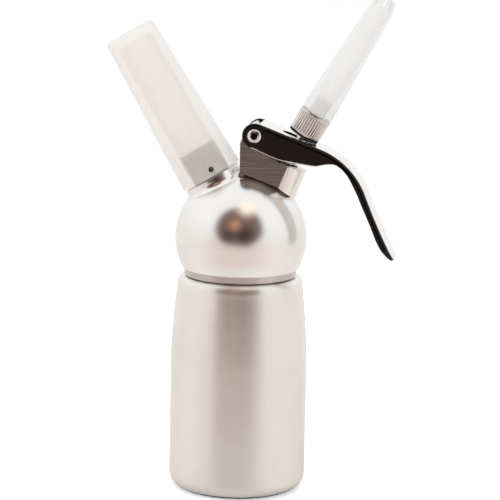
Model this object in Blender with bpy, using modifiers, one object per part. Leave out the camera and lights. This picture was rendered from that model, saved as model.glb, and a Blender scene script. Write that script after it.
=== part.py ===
"""Whipped cream dispenser with a ball head: bottle, head, charger holder, lever valve and decorating tip.

Metres, +Z up, origin at the centre of the bottle's base. The charger holder leans to -X, the nozzle and
its lever to +X, and the side that is seen first faces -Y.
"""

import math

import bmesh
import bpy
from mathutils import Matrix, Vector

# Clearances and overruns shared by all pieces
GAP = 0.0003
SLIDE_GAP = 0.0003
OVERRUN = 0.004
MERGE = 0.00001

# Facets round a turn
BODY_FACETS = 44
TIP_FACETS = 24
SMALL_FACETS = 16
ARC_STEPS = 5
BALL_STEPS = 14
DOME_STEPS = 8
BOSS_END_STEPS = 16
CHANNEL_BEND_STEPS = 3
O_RING_STEPS = 8
SHARP_ANGLE = math.radians(32)

# Bottle
BOTTLE_RADIUS = 0.0353
BOTTLE_HEIGHT = 0.1112
BOTTLE_WALL = 0.0018
BASE_ROUND = 0.007
SHOULDER_TALL = 0.0057
TAPER_TALL = 0.0395
TAPER_DROP = 0.0029
TAPER_POWER = 1.6
NECK_RADIUS = 0.0258
RIM_STEP = 0.0034
NECK_HEIGHT = 0.0124
NECK_THREAD_DEPTH = 0.0009
NECK_THREAD_PITCH = 0.0032
NECK_THREADS = 3

# Head: ball, neck ring and cavity
BALL_OVER_NECK = 0.0048
BALL_RISE = 0.0198
NECK_RING_WALL = 0.0030
NECK_RING_TALL = 0.0040
NECK_RING_CLEAR_DEGREES = 2
HEAD_THREAD_COUNT = 2
GASKET_THICK = 0.0018
GASKET_WIDTH = 0.0033
DOME_WALL = 0.0061

# Charger seat on the head, and the charger's axis
CHARGER_LEAN = math.radians(31.3)
CHARGER_AXIS_RISE = 0.0054
SEAT_RADIUS = 0.0150
SEAT_SINK = 0.0038
SEAT_FILLET = 0.0045

# Valve boss on the head, and the nozzle's axis
NOZZLE_LEAN = math.radians(30)
BOSS_LEAN = math.radians(21.6)
BOSS_WIDTH = 0.0195
BOSS_FILLET = 0.0030
PLATFORM_RISE = 0.0121
BOSS_END_SHIFT = 0.0010
LUG_SINK = 0.0046
LUG_CORNER = 0.0040
LUG_RIGHT = 0.0048
LUG_NUB_STEP = 0.0010
LUG_TO_HOLDER = 0.001725
LUG_FOOT_ROUND = 0.0055
LUG_STEP_DEGREES = 28
LUG_FOOT_SHARE = 0.7
SPOT_RADIUS = 0.0060
SPOT_DEPTH = 0.0008

# Lever pin: its rise above the platform along the nozzle's axis, and its distance from that axis
PIN_RISE = 0.004765
LEVER_ARM = 0.020591
PIN_RADIUS = 0.0021
PIN_HEAD_RADIUS = 0.0036
PIN_HEAD_THICK = 0.0014
PIN_RECESS_RADIUS = 0.0018
PIN_RECESS_DEPTH = 0.0008
CLIP_THICK = 0.0008
CLIP_RADIUS = 0.0040
CLIP_GROOVE = 0.0006
PIN_TAIL = 0.0008

# Lever: stamped channel, from the pin along its web, round the knee and down the arm
LEVER_SHEET = 0.0012
LEVER_BEND = 0.0020
EAR_CLEAR = 0.0004
WEB_SLOPE = math.radians(20.5)
WEB_PAST_STEM = 0.0130
ARM_LENGTH = 0.0361
WALL_DEEPEST = 0.0132
KNEE_RADIUS = 0.0400
ARM_SLOPE = math.radians(68.5)
TIP_FLARE = math.radians(7)
LEVER_STATIONS = 34
SLOT_HALF_WIDTH = 0.0038
SLOT_BACK = 0.0100
SLOT_FRONT = 0.0046
LEVER_TIP_LENGTH = 0.0075

# Share of the deepest wall that is left at each share of the lever's run, and the width's share at its tip
WALL_DEPTH_SHARES = (
    (0.00, 0.97),
    (0.15, 1.00),
    (0.21, 0.91),
    (0.31, 0.74),
    (0.34, 0.65),
    (0.38, 0.45),
    (0.42, 0.26),
    (0.45, 0.21),
    (0.50, 0.21),
    (0.60, 0.28),
    (0.78, 0.25),
    (0.91, 0.27),
    (1.00, 0.12),
)
LEVER_TIP_WIDTH_SHARE = 0.52
BEND_DEPTH_SHARE = 0.72

# Valve: stem, seals, guide nut, spring and press washer, all as places along the nozzle's axis
STEM_RADIUS = 0.0027
STEM_BORE = 0.0014
STEM_IN_COLLAR = 0.0097
STEM_PORT_RADIUS = 0.0011
VALVE_FLOW = 0.0013
NUT_BORE_STEP = 0.0005
NUT_BORE_DEPTH = 0.0092
VALVE_SEAT_RISE = 0.0003
SEAL_RADIUS = 0.0062
SEAL_THICK = 0.0030
SEAL_ROOM = 0.0010
SEAL_FOOT_SHARE = 0.7
SEAL_NUT_THICK = 0.0030
SEAL_NUT_RADIUS = 0.0050
STEM_TAIL = 0.0010
GUIDE_NUT_RADIUS = 0.0052
GUIDE_NUT_THICK = 0.0022
PRESS_WASHER_RADIUS = 0.0065
PRESS_WASHER_THICK = 0.0014
SPRING_WIRE = 0.0010
SPRING_RADIUS = 0.0043
SPRING_CURLS = 4.5
SPRING_CURL_POINTS = 10

# Nozzle adaptor, its ring and the tip, along the nozzle's axis
COLLAR_CLEAR = 0.00044
COLLAR_LENGTH = 0.0119
COLLAR_RADIUS = 0.0081
COLLAR_TOP_RADIUS = 0.00845
KNURL_RIBS = 40
KNURL_DEPTH = 0.0004
COLLAR_EDGE = 0.0006
STUB_RADIUS = 0.0043
STUB_LENGTH = 0.0085
STUB_THREADS = 4
STUB_THREAD_DEPTH = 0.0004
ADAPTOR_RING_THICK = 0.0008
TIP_LENGTH = 0.0685
TIP_RADIUS = 0.0085
TIP_NECK_RADIUS = 0.0064
TIP_END_RADIUS = 0.0046
TIP_CLOSING = 0.0075
TIP_WALL = 0.0014
TIP_END_WALL = 0.0016
STAR_POINTS = 8
STAR_SLOT = 0.0011
STAR_DEPTH_SHARE = 0.75

# Charger holder and what stands in it, along the charger's axis
HOLDER_LENGTH = 0.0850
HOLDER_RADIUS = 0.0161
HOLDER_TOP_RADIUS = 0.0136
HOLDER_TOP_ROUND = 0.0024
HOLDER_ROUND_DEGREES = (20, 80)
HOLDER_ROUND_STEPS = 3
HOLDER_EDGE = 0.0004
HOLDER_LEVEL_SHARES = (0.30, 0.50, 0.70, 0.85, 1.0)
HOLDER_BORE = 0.0098
HOLDER_TOP_WALL = 0.0050
HOLDER_GAP = 0.0005
HOLDER_FLUTES = 8
FLUTE_FACETS = 6
HOLDER_FLUTE_DEPTH = 0.0005
HOLDER_FLUTE_START_SHARE = 0.30
STUD_RADIUS = 0.0099
STUD_HEIGHT = 0.0160
STUD_PLAIN = 0.0048
STUD_THREADS = 5
STUD_THREAD_DEPTH = 0.0007
STUD_SHANK_RADIUS = 0.0060
STUD_SHANK_LENGTH = 0.0128
STUD_EDGE = 0.0005
STUD_BORE = 0.0022
SOCKET_RADIUS = 0.0048
SOCKET_DEPTH = 0.0105
VENT_RADIUS = 0.0015
VENT_RISE = 0.0036
VENT_TURN = math.radians(17)
NEEDLE_RADIUS = 0.0010
NEEDLE_BORE = 0.0004
NEEDLE_RISE = 0.0060
NEEDLE_TIP = 0.0022
NEEDLE_FOOT = 0.0040
CHARGER_GASKET_THICK = 0.0012
CHECK_SEAL_THICK = 0.0014
CHECK_NUT_GRIP = 0.0030
CHECK_NUT_WALL = 0.0012
CHECK_HOLE = 0.0012

# The bottle's and the neck's sizes that follow from the above
TAPER_END = BOTTLE_HEIGHT - SHOULDER_TALL
TAPER_START = TAPER_END - TAPER_TALL
RIM_RADIUS = NECK_RADIUS + RIM_STEP
RIM_HEIGHT = BOTTLE_HEIGHT + NECK_HEIGHT
HEAD_BOTTOM = BOTTLE_HEIGHT + GAP
GASKET_STEP = RIM_HEIGHT + GAP + GASKET_THICK + GAP
GASKET_INNER_RADIUS = NECK_RADIUS - GASKET_WIDTH

# The ball's, and the places on it
NECK_RING_RADIUS = NECK_RADIUS + NECK_RING_WALL
BALL_RADIUS = NECK_RING_RADIUS + BALL_OVER_NECK
BALL_HEIGHT = BOTTLE_HEIGHT + BALL_RISE
DOME_HEIGHT = BALL_RADIUS - DOME_WALL
SEAT_TOP = BALL_RADIUS - SEAT_SINK
HOLDER_SIDE = HOLDER_RADIUS * math.cos(CHARGER_LEAN) - SEAT_TOP * math.sin(CHARGER_LEAN)
LUG_LEFT = HOLDER_SIDE + LUG_TO_HOLDER
LUG_NUB = LUG_RIGHT + LUG_NUB_STEP
PLATFORM_ALONG = BALL_RADIUS + PLATFORM_RISE
PIN_ALONG = PLATFORM_ALONG + PIN_RISE
PIN_OUT = PIN_ALONG * math.sin(NOZZLE_LEAN) - LEVER_ARM * math.cos(NOZZLE_LEAN)
PIN_UP = PIN_ALONG * math.cos(NOZZLE_LEAN) + LEVER_ARM * math.sin(NOZZLE_LEAN)
PIN_HEIGHT = BALL_HEIGHT + PIN_UP

# The valve's bores, and the lever round its pin and over the stem
STEM_HOLE = STEM_RADIUS + SLIDE_GAP
VALVE_BORE = STEM_RADIUS + VALVE_FLOW
NUT_BORE = GUIDE_NUT_RADIUS - NUT_BORE_STEP
VALVE_SEAT = DOME_HEIGHT + VALVE_SEAT_RISE
EAR_RADIUS = LUG_RIGHT + EAR_CLEAR + LEVER_SHEET
LEVER_WIDTH = BOSS_WIDTH + 2 * (LEVER_SHEET + GAP)
WEB_LENGTH = LEVER_ARM + WEB_PAST_STEM

# The press washer's top, under the web at the washer's edge nearest the pin, and the collar above the web
WEB_TILT = NOZZLE_LEAN - WEB_SLOPE
WEB_UNDERSIDE = PIN_ALONG + (EAR_RADIUS - LEVER_SHEET) / math.cos(WEB_TILT)
WASHER_TOP = WEB_UNDERSIDE + (LEVER_ARM - PRESS_WASHER_RADIUS) * math.tan(WEB_TILT) - GAP
WEB_ON_STEM = WEB_UNDERSIDE + LEVER_ARM * math.tan(WEB_TILT)
WEB_AT_COLLAR = WEB_ON_STEM + COLLAR_RADIUS * math.tan(WEB_TILT) + LEVER_SHEET / math.cos(WEB_TILT)
COLLAR_BOTTOM = WEB_AT_COLLAR + COLLAR_CLEAR + ADAPTOR_RING_THICK + GAP
STEM_TOP = COLLAR_BOTTOM + STEM_IN_COLLAR


def clear_scene():
    for obj in list(bpy.data.objects):
        bpy.data.objects.remove(obj, do_unlink=True)


def collection(name):
    made = bpy.data.collections.new(name)
    bpy.context.scene.collection.children.link(made)
    return made


def frame(name, matrix):
    """An empty on a joint's or a piece's axis, which its pieces are parented to."""
    empty = bpy.data.objects.new(name, None)
    empty.empty_display_size = BOTTLE_RADIUS
    empty.matrix_world = matrix
    PARTS.objects.link(empty)
    return empty


def material(name, colour, roughness, metallic, transmission=0.0):
    made = bpy.data.materials.new(name)
    made.use_nodes = True
    shader = made.node_tree.nodes["Principled BSDF"]
    shader.inputs["Base Color"].default_value = (*colour, 1.0)
    shader.inputs["Roughness"].default_value = roughness
    shader.inputs["Metallic"].default_value = metallic
    shader.inputs["Transmission Weight"].default_value = transmission
    return made


def add(name, mesh, where=None, group=None):
    """A new object in the frame `where`, in the parts' collection unless a group is given."""
    obj = bpy.data.objects.new(name, mesh)
    (group or PARTS).objects.link(obj)
    obj.parent = where
    return obj


def as_cutter(obj):
    obj.hide_render = True
    obj.display_type = "WIRE"
    return obj


def bake(obj):
    """Turns the object's curve or modifiers into its own mesh, closed and in its own frame."""
    bpy.context.view_layer.update()
    graph = bpy.context.evaluated_depsgraph_get()
    mesh = bpy.data.meshes.new_from_object(obj.evaluated_get(graph))
    shape = bmesh.new()
    shape.from_mesh(mesh)
    bmesh.ops.remove_doubles(shape, verts=shape.verts, dist=MERGE)
    shape.to_mesh(mesh)
    shape.free()
    name, parent, local = obj.name, obj.parent, obj.matrix_local.copy()
    group = obj.users_collection[0]
    bpy.data.objects.remove(obj, do_unlink=True)
    made = bpy.data.objects.new(name, mesh)
    group.objects.link(made)
    made.parent = parent
    made.matrix_local = local
    return made


def finish(obj, look):
    """Bakes a piece, gives it its material and shades its round faces smooth."""
    made = bake(obj)
    made.data.materials.clear()
    made.data.materials.append(look)
    made.data.shade_smooth()
    made.data.set_sharp_from_angle(angle=SHARP_ANGLE)
    return made


def arc(centre, radius, start, end, steps=ARC_STEPS):
    """Points on a circle's arc between two angles in degrees, both ends included."""
    angles = [math.radians(start + (end - start) * i / steps) for i in range(steps + 1)]
    return [(centre[0] + radius * math.cos(a), centre[1] + radius * math.sin(a)) for a in angles]


def threads(root, crest, top, bottom, count):
    """A thread's outline as ridges, from its top to its bottom."""
    pitch = (top - bottom) / count
    points = []
    for i in range(count):
        high = top - pitch * i
        points += [(root, high), (crest, high - pitch / 3), (crest, high - pitch / 2)]
        points.append((root, high - pitch * 5 / 6))
    return points


def turned(name, outline, where=None, facets=SMALL_FACETS, closed=False, cutter=False):
    """A profile of (radius, height) points, turned about the frame's Z axis."""
    count = len(outline)
    edges = [(i, i + 1) for i in range(count - 1)]
    if closed:
        edges.append((count - 1, 0))
    mesh = bpy.data.meshes.new(name)
    mesh.from_pydata([(r, 0, h) for r, h in outline], edges, [])
    obj = add(name, mesh, where, CUTTERS if cutter else None)
    screw = obj.modifiers.new("turn", "SCREW")
    screw.steps = screw.render_steps = facets
    screw.use_merge_vertices = True
    screw.merge_threshold = MERGE
    screw.use_smooth_shade = True
    if cutter:
        as_cutter(obj)
    return obj


def ring(name, outer, inner, top, bottom, where, facets=SMALL_FACETS):
    """A flat-faced ring between two heights."""
    corners = [(inner, top), (outer, top), (outer, bottom), (inner, bottom)]
    return turned(name, corners, where, facets, closed=True)


def plug(name, radius, top, bottom, where, facets=SMALL_FACETS):
    """A round cutter between two places on the frame's axis."""
    outline = [(0, top), (radius, top), (radius, bottom), (0, bottom)]
    return turned(name, outline, where, facets, cutter=True)


def prism(name, outline, half, where):
    """A flat outline in the frame's XZ plane, extruded by half its thickness to each side along Y."""
    curve = bpy.data.curves.new(name, "CURVE")
    curve.dimensions = "2D"
    curve.fill_mode = "BOTH"
    curve.extrude = half
    spline = curve.splines.new("POLY")
    spline.points.add(len(outline) - 1)
    for point, (x, z) in zip(spline.points, outline):
        point.co = (x, z, 0, 1)
    spline.use_cyclic_u = True
    obj = add(name, curve, where)
    obj.matrix_local = ON_ITS_SIDE
    return bake(obj)


def loft(name, rings, where=None, cutter=False):
    """A closed solid through rings with the same number of points, capped at both ends."""
    shape = bmesh.new()
    made = [[shape.verts.new(p) for p in points] for points in rings]
    count = len(rings[0])
    for low, high in zip(made, made[1:]):
        for i in range(count):
            j = (i + 1) % count
            shape.faces.new((low[i], low[j], high[j], high[i]))
    shape.faces.new(list(reversed(made[0])))
    shape.faces.new(made[-1])
    bmesh.ops.recalc_face_normals(shape, faces=shape.faces)
    mesh = bpy.data.meshes.new(name)
    shape.to_mesh(mesh)
    shape.free()
    obj = add(name, mesh, where, CUTTERS if cutter else None)
    return as_cutter(obj) if cutter else obj


def boolean(obj, other, operation):
    modifier = obj.modifiers.new(operation.lower(), "BOOLEAN")
    modifier.operation = operation
    modifier.solver = "EXACT"
    modifier.object = other


def join(obj, other):
    """Adds another shape to this one and removes it as an object of its own."""
    boolean(obj, other, "UNION")
    made = bake(obj)
    bpy.data.objects.remove(other, do_unlink=True)
    return made


def make_looks():
    return {
        "brushed": material("satin_aluminium", (0.72, 0.69, 0.66), 0.34, 1.0),
        "polished": material("bright_steel", (0.82, 0.80, 0.78), 0.16, 1.0),
        "dark": material("black_lever_finish", (0.028, 0.024, 0.021), 0.18, 0.6),
        "frosted": material("frosted_plastic", (0.86, 0.85, 0.82), 0.42, 0.0, 0.7),
        "black_rubber": material("black_rubber", (0.02, 0.02, 0.02), 0.6, 0.0),
        "grey_rubber": material("grey_silicone", (0.32, 0.31, 0.30), 0.55, 0.0),
        "spring": material("spring_steel", (0.62, 0.60, 0.58), 0.25, 1.0),
        "brass": material("plated_brass", (0.70, 0.64, 0.50), 0.28, 1.0),
    }


def make_bottle():
    """The drawn bottle: floor, wall, shoulder and threaded neck in one piece."""
    def taper(share):
        height = TAPER_START + (TAPER_END - TAPER_START) * share
        return BOTTLE_RADIUS - TAPER_DROP * share**TAPER_POWER, height

    shoulder = BOTTLE_RADIUS - TAPER_DROP
    rise = BOTTLE_HEIGHT - TAPER_END
    run = shoulder - RIM_RADIUS
    shoulder_arc = [(RIM_RADIUS + run * math.sin(a), TAPER_END + rise * math.cos(a))
                    for a in [math.radians(90) * i / ARC_STEPS for i in range(ARC_STEPS + 1)]]
    wall_side = [taper(i / ARC_STEPS) for i in range(ARC_STEPS, -1, -1)]
    base = arc((BOTTLE_RADIUS - BASE_ROUND, BASE_ROUND), BASE_ROUND, 0, -90)
    outside = [*shoulder_arc[:-1], *wall_side, *base]

    neck_bore = NECK_RADIUS - NECK_THREAD_DEPTH - BOTTLE_WALL
    inside_round = BASE_ROUND - BOTTLE_WALL
    inner_radius = BOTTLE_RADIUS - BOTTLE_WALL
    inner_base = arc((inner_radius - inside_round, BOTTLE_WALL + inside_round), inside_round, -90, 0)
    inner_side = [(r - BOTTLE_WALL, h) for r, h in reversed(wall_side)]
    inner_shoulder = [(neck_bore + BOTTLE_WALL, BOTTLE_HEIGHT - BOTTLE_WALL), (neck_bore, BOTTLE_HEIGHT)]
    root = NECK_RADIUS - NECK_THREAD_DEPTH
    thread_top = RIM_HEIGHT - NECK_THREAD_DEPTH
    thread_end = thread_top - NECK_THREAD_PITCH * NECK_THREADS
    thread = threads(root, NECK_RADIUS, thread_top, thread_end, NECK_THREADS)
    outline = [(0, BOTTLE_WALL), *inner_base, *inner_side, *inner_shoulder, (neck_bore, RIM_HEIGHT)]
    outline += [(root, RIM_HEIGHT), *thread, (root, BOTTLE_HEIGHT), *outside, (0, 0)]
    return finish(turned("bottle", outline, facets=BODY_FACETS), LOOKS["brushed"])


def flared(name, outline, normals, top, fillet, where):
    """A boss standing on the ball: straight wall below `top`, then a concave fillet down into the ball.

    The outline and its outward normals lie in the frame's XY plane. The fillet meets a sphere a little
    under the ball's surface, so that the two shapes cross cleanly.
    """
    centre = where.matrix_world.inverted() @ Vector((0, 0, BALL_HEIGHT))
    sphere = BALL_RADIUS - GAP / 2
    columns = []
    for (x, y), (nx, ny) in zip(outline, normals):
        side = (x - centre.x) * ny - (y - centre.y) * nx
        across = (centre.x - x) * nx + (centre.y - y) * ny
        cut = math.sqrt(sphere**2 - side**2)
        height = centre.z + math.sqrt((cut + fillet) ** 2 - (fillet - across) ** 2)
        start = math.pi
        end = math.atan2(centre.z - height, across - fillet) % math.tau
        column = [(x, y, top)]
        for i in range(ARC_STEPS + 1):
            a = start + (end - start) * i / ARC_STEPS
            u = fillet + fillet * math.cos(a)
            column.append((x + nx * u, y + ny * u, height + fillet * math.sin(a)))
        foot = column[-1]
        column.append((foot[0] - nx * 2 * fillet, foot[1] - ny * 2 * fillet, foot[2] - 2 * fillet))
        columns.append(column)
    return loft(name, [list(level) for level in zip(*columns)], where)


def round_outline(radius, facets):
    angles = [math.tau * i / facets for i in range(facets)]
    normals = [(math.cos(a), math.sin(a)) for a in angles]
    return [(radius * x, radius * y) for x, y in normals], normals


def boss_outline(left, half):
    """Plan of the valve boss: round right end about the frame's axis, rounded corners at the left."""
    points = arc((BOSS_END_SHIFT, 0), half, -90, 90, BOSS_END_STEPS)
    normals = arc((0, 0), 1, -90, 90, BOSS_END_STEPS)
    for side, start in ((1, 90), (-1, 180)):
        centre = (left + LUG_CORNER, side * (half - LUG_CORNER))
        points += arc(centre, LUG_CORNER, start, start + 90)
        normals += arc((0, 0), 1, start, start + 90)
    return points, normals


def make_lug(platform_centre):
    """The lug that carries the pin, in the ball's frame: upright at its left, swept into the platform."""
    slope = Vector((math.cos(BOSS_LEAN), -math.sin(BOSS_LEAN)))
    pin = Vector((PIN_OUT, PIN_UP))
    web = Vector((math.cos(WEB_SLOPE), -math.sin(WEB_SLOPE)))
    normal = Vector((math.sin(WEB_SLOPE), math.cos(WEB_SLOPE)))
    nub_edge = pin - web * LUG_NUB / 4
    start = 90 - math.degrees(WEB_SLOPE)
    right = arc(pin, LUG_RIGHT, start, 0)
    nub = arc(pin, LUG_NUB, 180, start + LUG_STEP_DEGREES)
    foot_end = platform_centre - slope * SPOT_RADIUS * LUG_FOOT_SHARE
    foot = [(PIN_OUT + LUG_RIGHT, foot_end.y + LUG_FOOT_ROUND)]
    corner = Vector((PIN_OUT + LUG_RIGHT, foot_end.y + LUG_FOOT_ROUND / 2))
    for i in range(1, ARC_STEPS + 1):
        t = i / ARC_STEPS
        point = (1 - t) ** 2 * Vector(foot[0]) + 2 * t * (1 - t) * corner + t**2 * foot_end
        foot.append(tuple(point))
    step = nub_edge + normal * LUG_RIGHT
    deep = BALL_RADIUS - LUG_SINK
    left = [(LUG_LEFT, deep), (LUG_LEFT, PIN_UP - LUG_CORNER)]
    return [*left, *nub, tuple(step), *right, *foot, (foot_end.x, deep)]


def make_head():
    """Ball, neck ring, charger seat and valve boss in one casting, then its cavity and bores."""
    low = HEAD_BOTTOM - BALL_HEIGHT
    ring_top = low + NECK_RING_TALL
    edge_angle = math.degrees(math.asin(ring_top / BALL_RADIUS)) + NECK_RING_CLEAR_DEGREES
    sphere = arc((0, 0), BALL_RADIUS, 90, edge_angle, BALL_STEPS)
    outline = [*sphere, (NECK_RING_RADIUS, ring_top), (NECK_RING_RADIUS, low), (0, low)]
    head = bake(turned("head", outline, HEAD_FRAME, BODY_FACETS))

    half = BOSS_WIDTH / 2
    lean = Matrix.Rotation(NOZZLE_LEAN, 3, "Y") @ Vector((0, 0, PLATFORM_ALONG))
    centre = Vector((lean.x, lean.z))
    left = (LUG_LEFT - centre.x) / math.cos(BOSS_LEAN)
    points, normals = boss_outline(left + LUG_CORNER, half)
    head = join(head, flared("boss", points, normals, 0, BOSS_FILLET, BOSS_FRAME))
    head = join(head, prism("lug", make_lug(centre), half, HEAD_FRAME))
    points, normals = round_outline(SEAT_RADIUS, BODY_FACETS)
    head = join(head, flared("seat", points, normals, SEAT_TOP, SEAT_FILLET, CHARGER_FRAME))

    bore = NECK_RADIUS + SLIDE_GAP
    step = GASKET_STEP - BALL_HEIGHT
    dome_centre = (DOME_HEIGHT**2 - GASKET_INNER_RADIUS**2 - step**2) / (2 * (DOME_HEIGHT - step))
    dome_radius = DOME_HEIGHT - dome_centre
    start = math.degrees(math.atan2(step - dome_centre, GASKET_INNER_RADIUS))
    dome = arc((0, dome_centre), dome_radius, 90, start, DOME_STEPS)
    groove_top = step - NECK_THREAD_PITCH
    groove_end = low + NECK_THREAD_PITCH / 2
    groove = threads(bore, bore + NECK_THREAD_DEPTH, groove_top, groove_end, HEAD_THREAD_COUNT)
    cavity = [*dome, (bore, step), *groove, (bore, low - OVERRUN), (0, low - OVERRUN)]
    seat = VALVE_SEAT
    valve = [(0, PLATFORM_ALONG + OVERRUN), (SPOT_RADIUS, PLATFORM_ALONG + OVERRUN)]
    spot = PLATFORM_ALONG - SPOT_DEPTH
    valve += [(SPOT_RADIUS, spot), (NUT_BORE, spot), (NUT_BORE, spot - NUT_BORE_DEPTH)]
    pocket = SEAL_RADIUS + SEAL_ROOM
    valve += [(VALVE_BORE, spot - NUT_BORE_DEPTH), (VALVE_BORE, seat), (pocket, seat)]
    valve += [(pocket, seat - OVERRUN), (0, seat - OVERRUN)]
    shank = STUD_SHANK_RADIUS + GAP
    cutters = [
        turned("cavity_cut", cavity, HEAD_FRAME, BODY_FACETS, cutter=True),
        turned("valve_cut", valve, NOZZLE_FRAME, cutter=True),
        plug("charger_cut", shank, SEAT_TOP + OVERRUN, SEAT_TOP - 3 * OVERRUN, CHARGER_FRAME),
        plug("pin_cut", PIN_RADIUS + SLIDE_GAP, half + OVERRUN, -half - OVERRUN, PIN_FRAME),
    ]
    for cutter in cutters:
        boolean(head, cutter, "DIFFERENCE")
    return finish(head, LOOKS["brushed"])


def make_head_gasket():
    bottom = RIM_HEIGHT + GAP
    top = bottom + GASKET_THICK
    piece = ring("head_gasket", NECK_RADIUS, GASKET_INNER_RADIUS, top, bottom, None, BODY_FACETS)
    finish(piece, LOOKS["grey_rubber"])


def hexagon(name, radius, top, bottom, bore, where):
    """A hexagon nut with its corners on `radius` and a round bore."""
    points, _ = round_outline(radius, 6)
    nut = loft(name, [[(x, y, bottom) for x, y in points], [(x, y, top) for x, y in points]], where)
    boolean(nut, plug(name + "_cut", bore, top + OVERRUN, bottom - OVERRUN, where), "DIFFERENCE")
    return bake(nut)


def make_charger_stud():
    """The threaded stud on the seat: socket for the charger's neck above, shank through the head below."""
    foot = SEAT_TOP + GAP
    top = foot + STUD_HEIGHT
    shank_end = SEAT_TOP - STUD_SHANK_LENGTH
    root = STUD_RADIUS - STUD_THREAD_DEPTH
    thread = threads(root, STUD_RADIUS, top - STUD_EDGE, foot + STUD_PLAIN, STUD_THREADS)
    outline = [(STUD_BORE, top - SOCKET_DEPTH), (SOCKET_RADIUS, top - SOCKET_DEPTH), (SOCKET_RADIUS, top)]
    outline += [(root, top), *thread, (root, foot + STUD_PLAIN)]
    outline += [(STUD_RADIUS, foot + STUD_PLAIN - STUD_EDGE), (STUD_RADIUS, foot)]
    outline += [(STUD_SHANK_RADIUS, foot), (STUD_SHANK_RADIUS, shank_end), (STUD_BORE, shank_end)]
    finish(turned("charger_stud", outline, CHARGER_FRAME, TIP_FACETS, closed=True), LOOKS["polished"])

    floor = top - SOCKET_DEPTH
    needle_top = floor + NEEDLE_RISE
    foot_radius = STUD_BORE - GAP
    needle = [(NEEDLE_BORE, needle_top), (NEEDLE_RADIUS, needle_top - NEEDLE_TIP), (NEEDLE_RADIUS, floor)]
    needle += [(foot_radius, floor), (foot_radius, floor - NEEDLE_FOOT), (NEEDLE_BORE, floor - NEEDLE_FOOT)]
    finish(turned("piercing_pin", needle, CHARGER_FRAME, closed=True), LOOKS["polished"])

    low = floor + GAP
    high = low + CHARGER_GASKET_THICK
    gasket = ring("charger_gasket", SOCKET_RADIUS - GAP, NEEDLE_RADIUS + GAP, high, low, CHARGER_FRAME)
    finish(gasket, LOOKS["black_rubber"])

    seal_top = shank_end - GAP
    seal_bottom = seal_top - CHECK_SEAL_THICK
    seal_radius = STUD_SHANK_RADIUS - GAP
    seal = [(0, seal_top), (seal_radius, seal_top), (seal_radius, seal_bottom), (0, seal_bottom)]
    finish(turned("check_valve_seal", seal, CHARGER_FRAME), LOOKS["black_rubber"])

    cup = STUD_SHANK_RADIUS + GAP
    outer = cup + CHECK_NUT_WALL
    floor = seal_bottom - GAP
    lip = shank_end + CHECK_NUT_GRIP
    nut = [(cup, lip), (outer, lip), (outer, floor - CHECK_NUT_WALL), (CHECK_HOLE, floor - CHECK_NUT_WALL)]
    nut += [(CHECK_HOLE, floor), (cup, floor)]
    finish(turned("check_valve_nut", nut, CHARGER_FRAME, closed=True), LOOKS["brass"])


def make_charger_holder():
    """The plastic holder: tapered outside with flutes that deepen towards its closed top."""
    base = SEAT_TOP + HOLDER_GAP
    top = base + HOLDER_LENGTH
    facets = HOLDER_FLUTES * FLUTE_FACETS
    levels = [(0, -HOLDER_EDGE), (HOLDER_EDGE, 0)]
    side = HOLDER_LENGTH - HOLDER_TOP_ROUND
    levels += [(side * share, 0) for share in HOLDER_LEVEL_SHARES]
    top_round = arc((0, 0), HOLDER_TOP_ROUND, *HOLDER_ROUND_DEGREES, HOLDER_ROUND_STEPS)
    levels += [(side + z, r - HOLDER_TOP_ROUND) for r, z in top_round]
    rings = []
    for height, inset in levels:
        share = height / HOLDER_LENGTH
        radius = HOLDER_RADIUS + (HOLDER_TOP_RADIUS - HOLDER_RADIUS) * share + inset
        fade = max(0, (share - HOLDER_FLUTE_START_SHARE) / (1 - HOLDER_FLUTE_START_SHARE))
        points = []
        for i in range(facets):
            a = math.tau * i / facets
            r = radius - HOLDER_FLUTE_DEPTH * fade * (1 - math.cos(HOLDER_FLUTES * a))
            points.append((r * math.cos(a), r * math.sin(a), base + height))
        rings.append(points)
    holder = loft("charger_holder", rings, CHARGER_FRAME)

    grip = STUD_RADIUS + SLIDE_GAP
    stud_top = SEAT_TOP + GAP + STUD_HEIGHT
    groove_low = SEAT_TOP + GAP + STUD_PLAIN
    ceiling = top - HOLDER_TOP_WALL
    round_centre = (HOLDER_BORE - HOLDER_TOP_ROUND, ceiling - HOLDER_TOP_ROUND)
    inside = [(0, ceiling), *arc(round_centre, HOLDER_TOP_ROUND, 90, 0)]
    inside += [(HOLDER_BORE, stud_top + 2 * STUD_EDGE), (grip, stud_top + 2 * STUD_EDGE)]
    inside += threads(grip, grip + STUD_THREAD_DEPTH, stud_top, groove_low, STUD_THREADS)
    inside += [(grip, base - OVERRUN), (0, base - OVERRUN)]
    boolean(holder, turned("holder_cut", inside, CHARGER_FRAME, TIP_FACETS, cutter=True), "DIFFERENCE")
    vent = plug("vent_cut", VENT_RADIUS, HOLDER_RADIUS + OVERRUN, HOLDER_BORE / 2, VENT_FRAME)
    boolean(holder, vent, "DIFFERENCE")
    finish(holder, LOOKS["frosted"])


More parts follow.
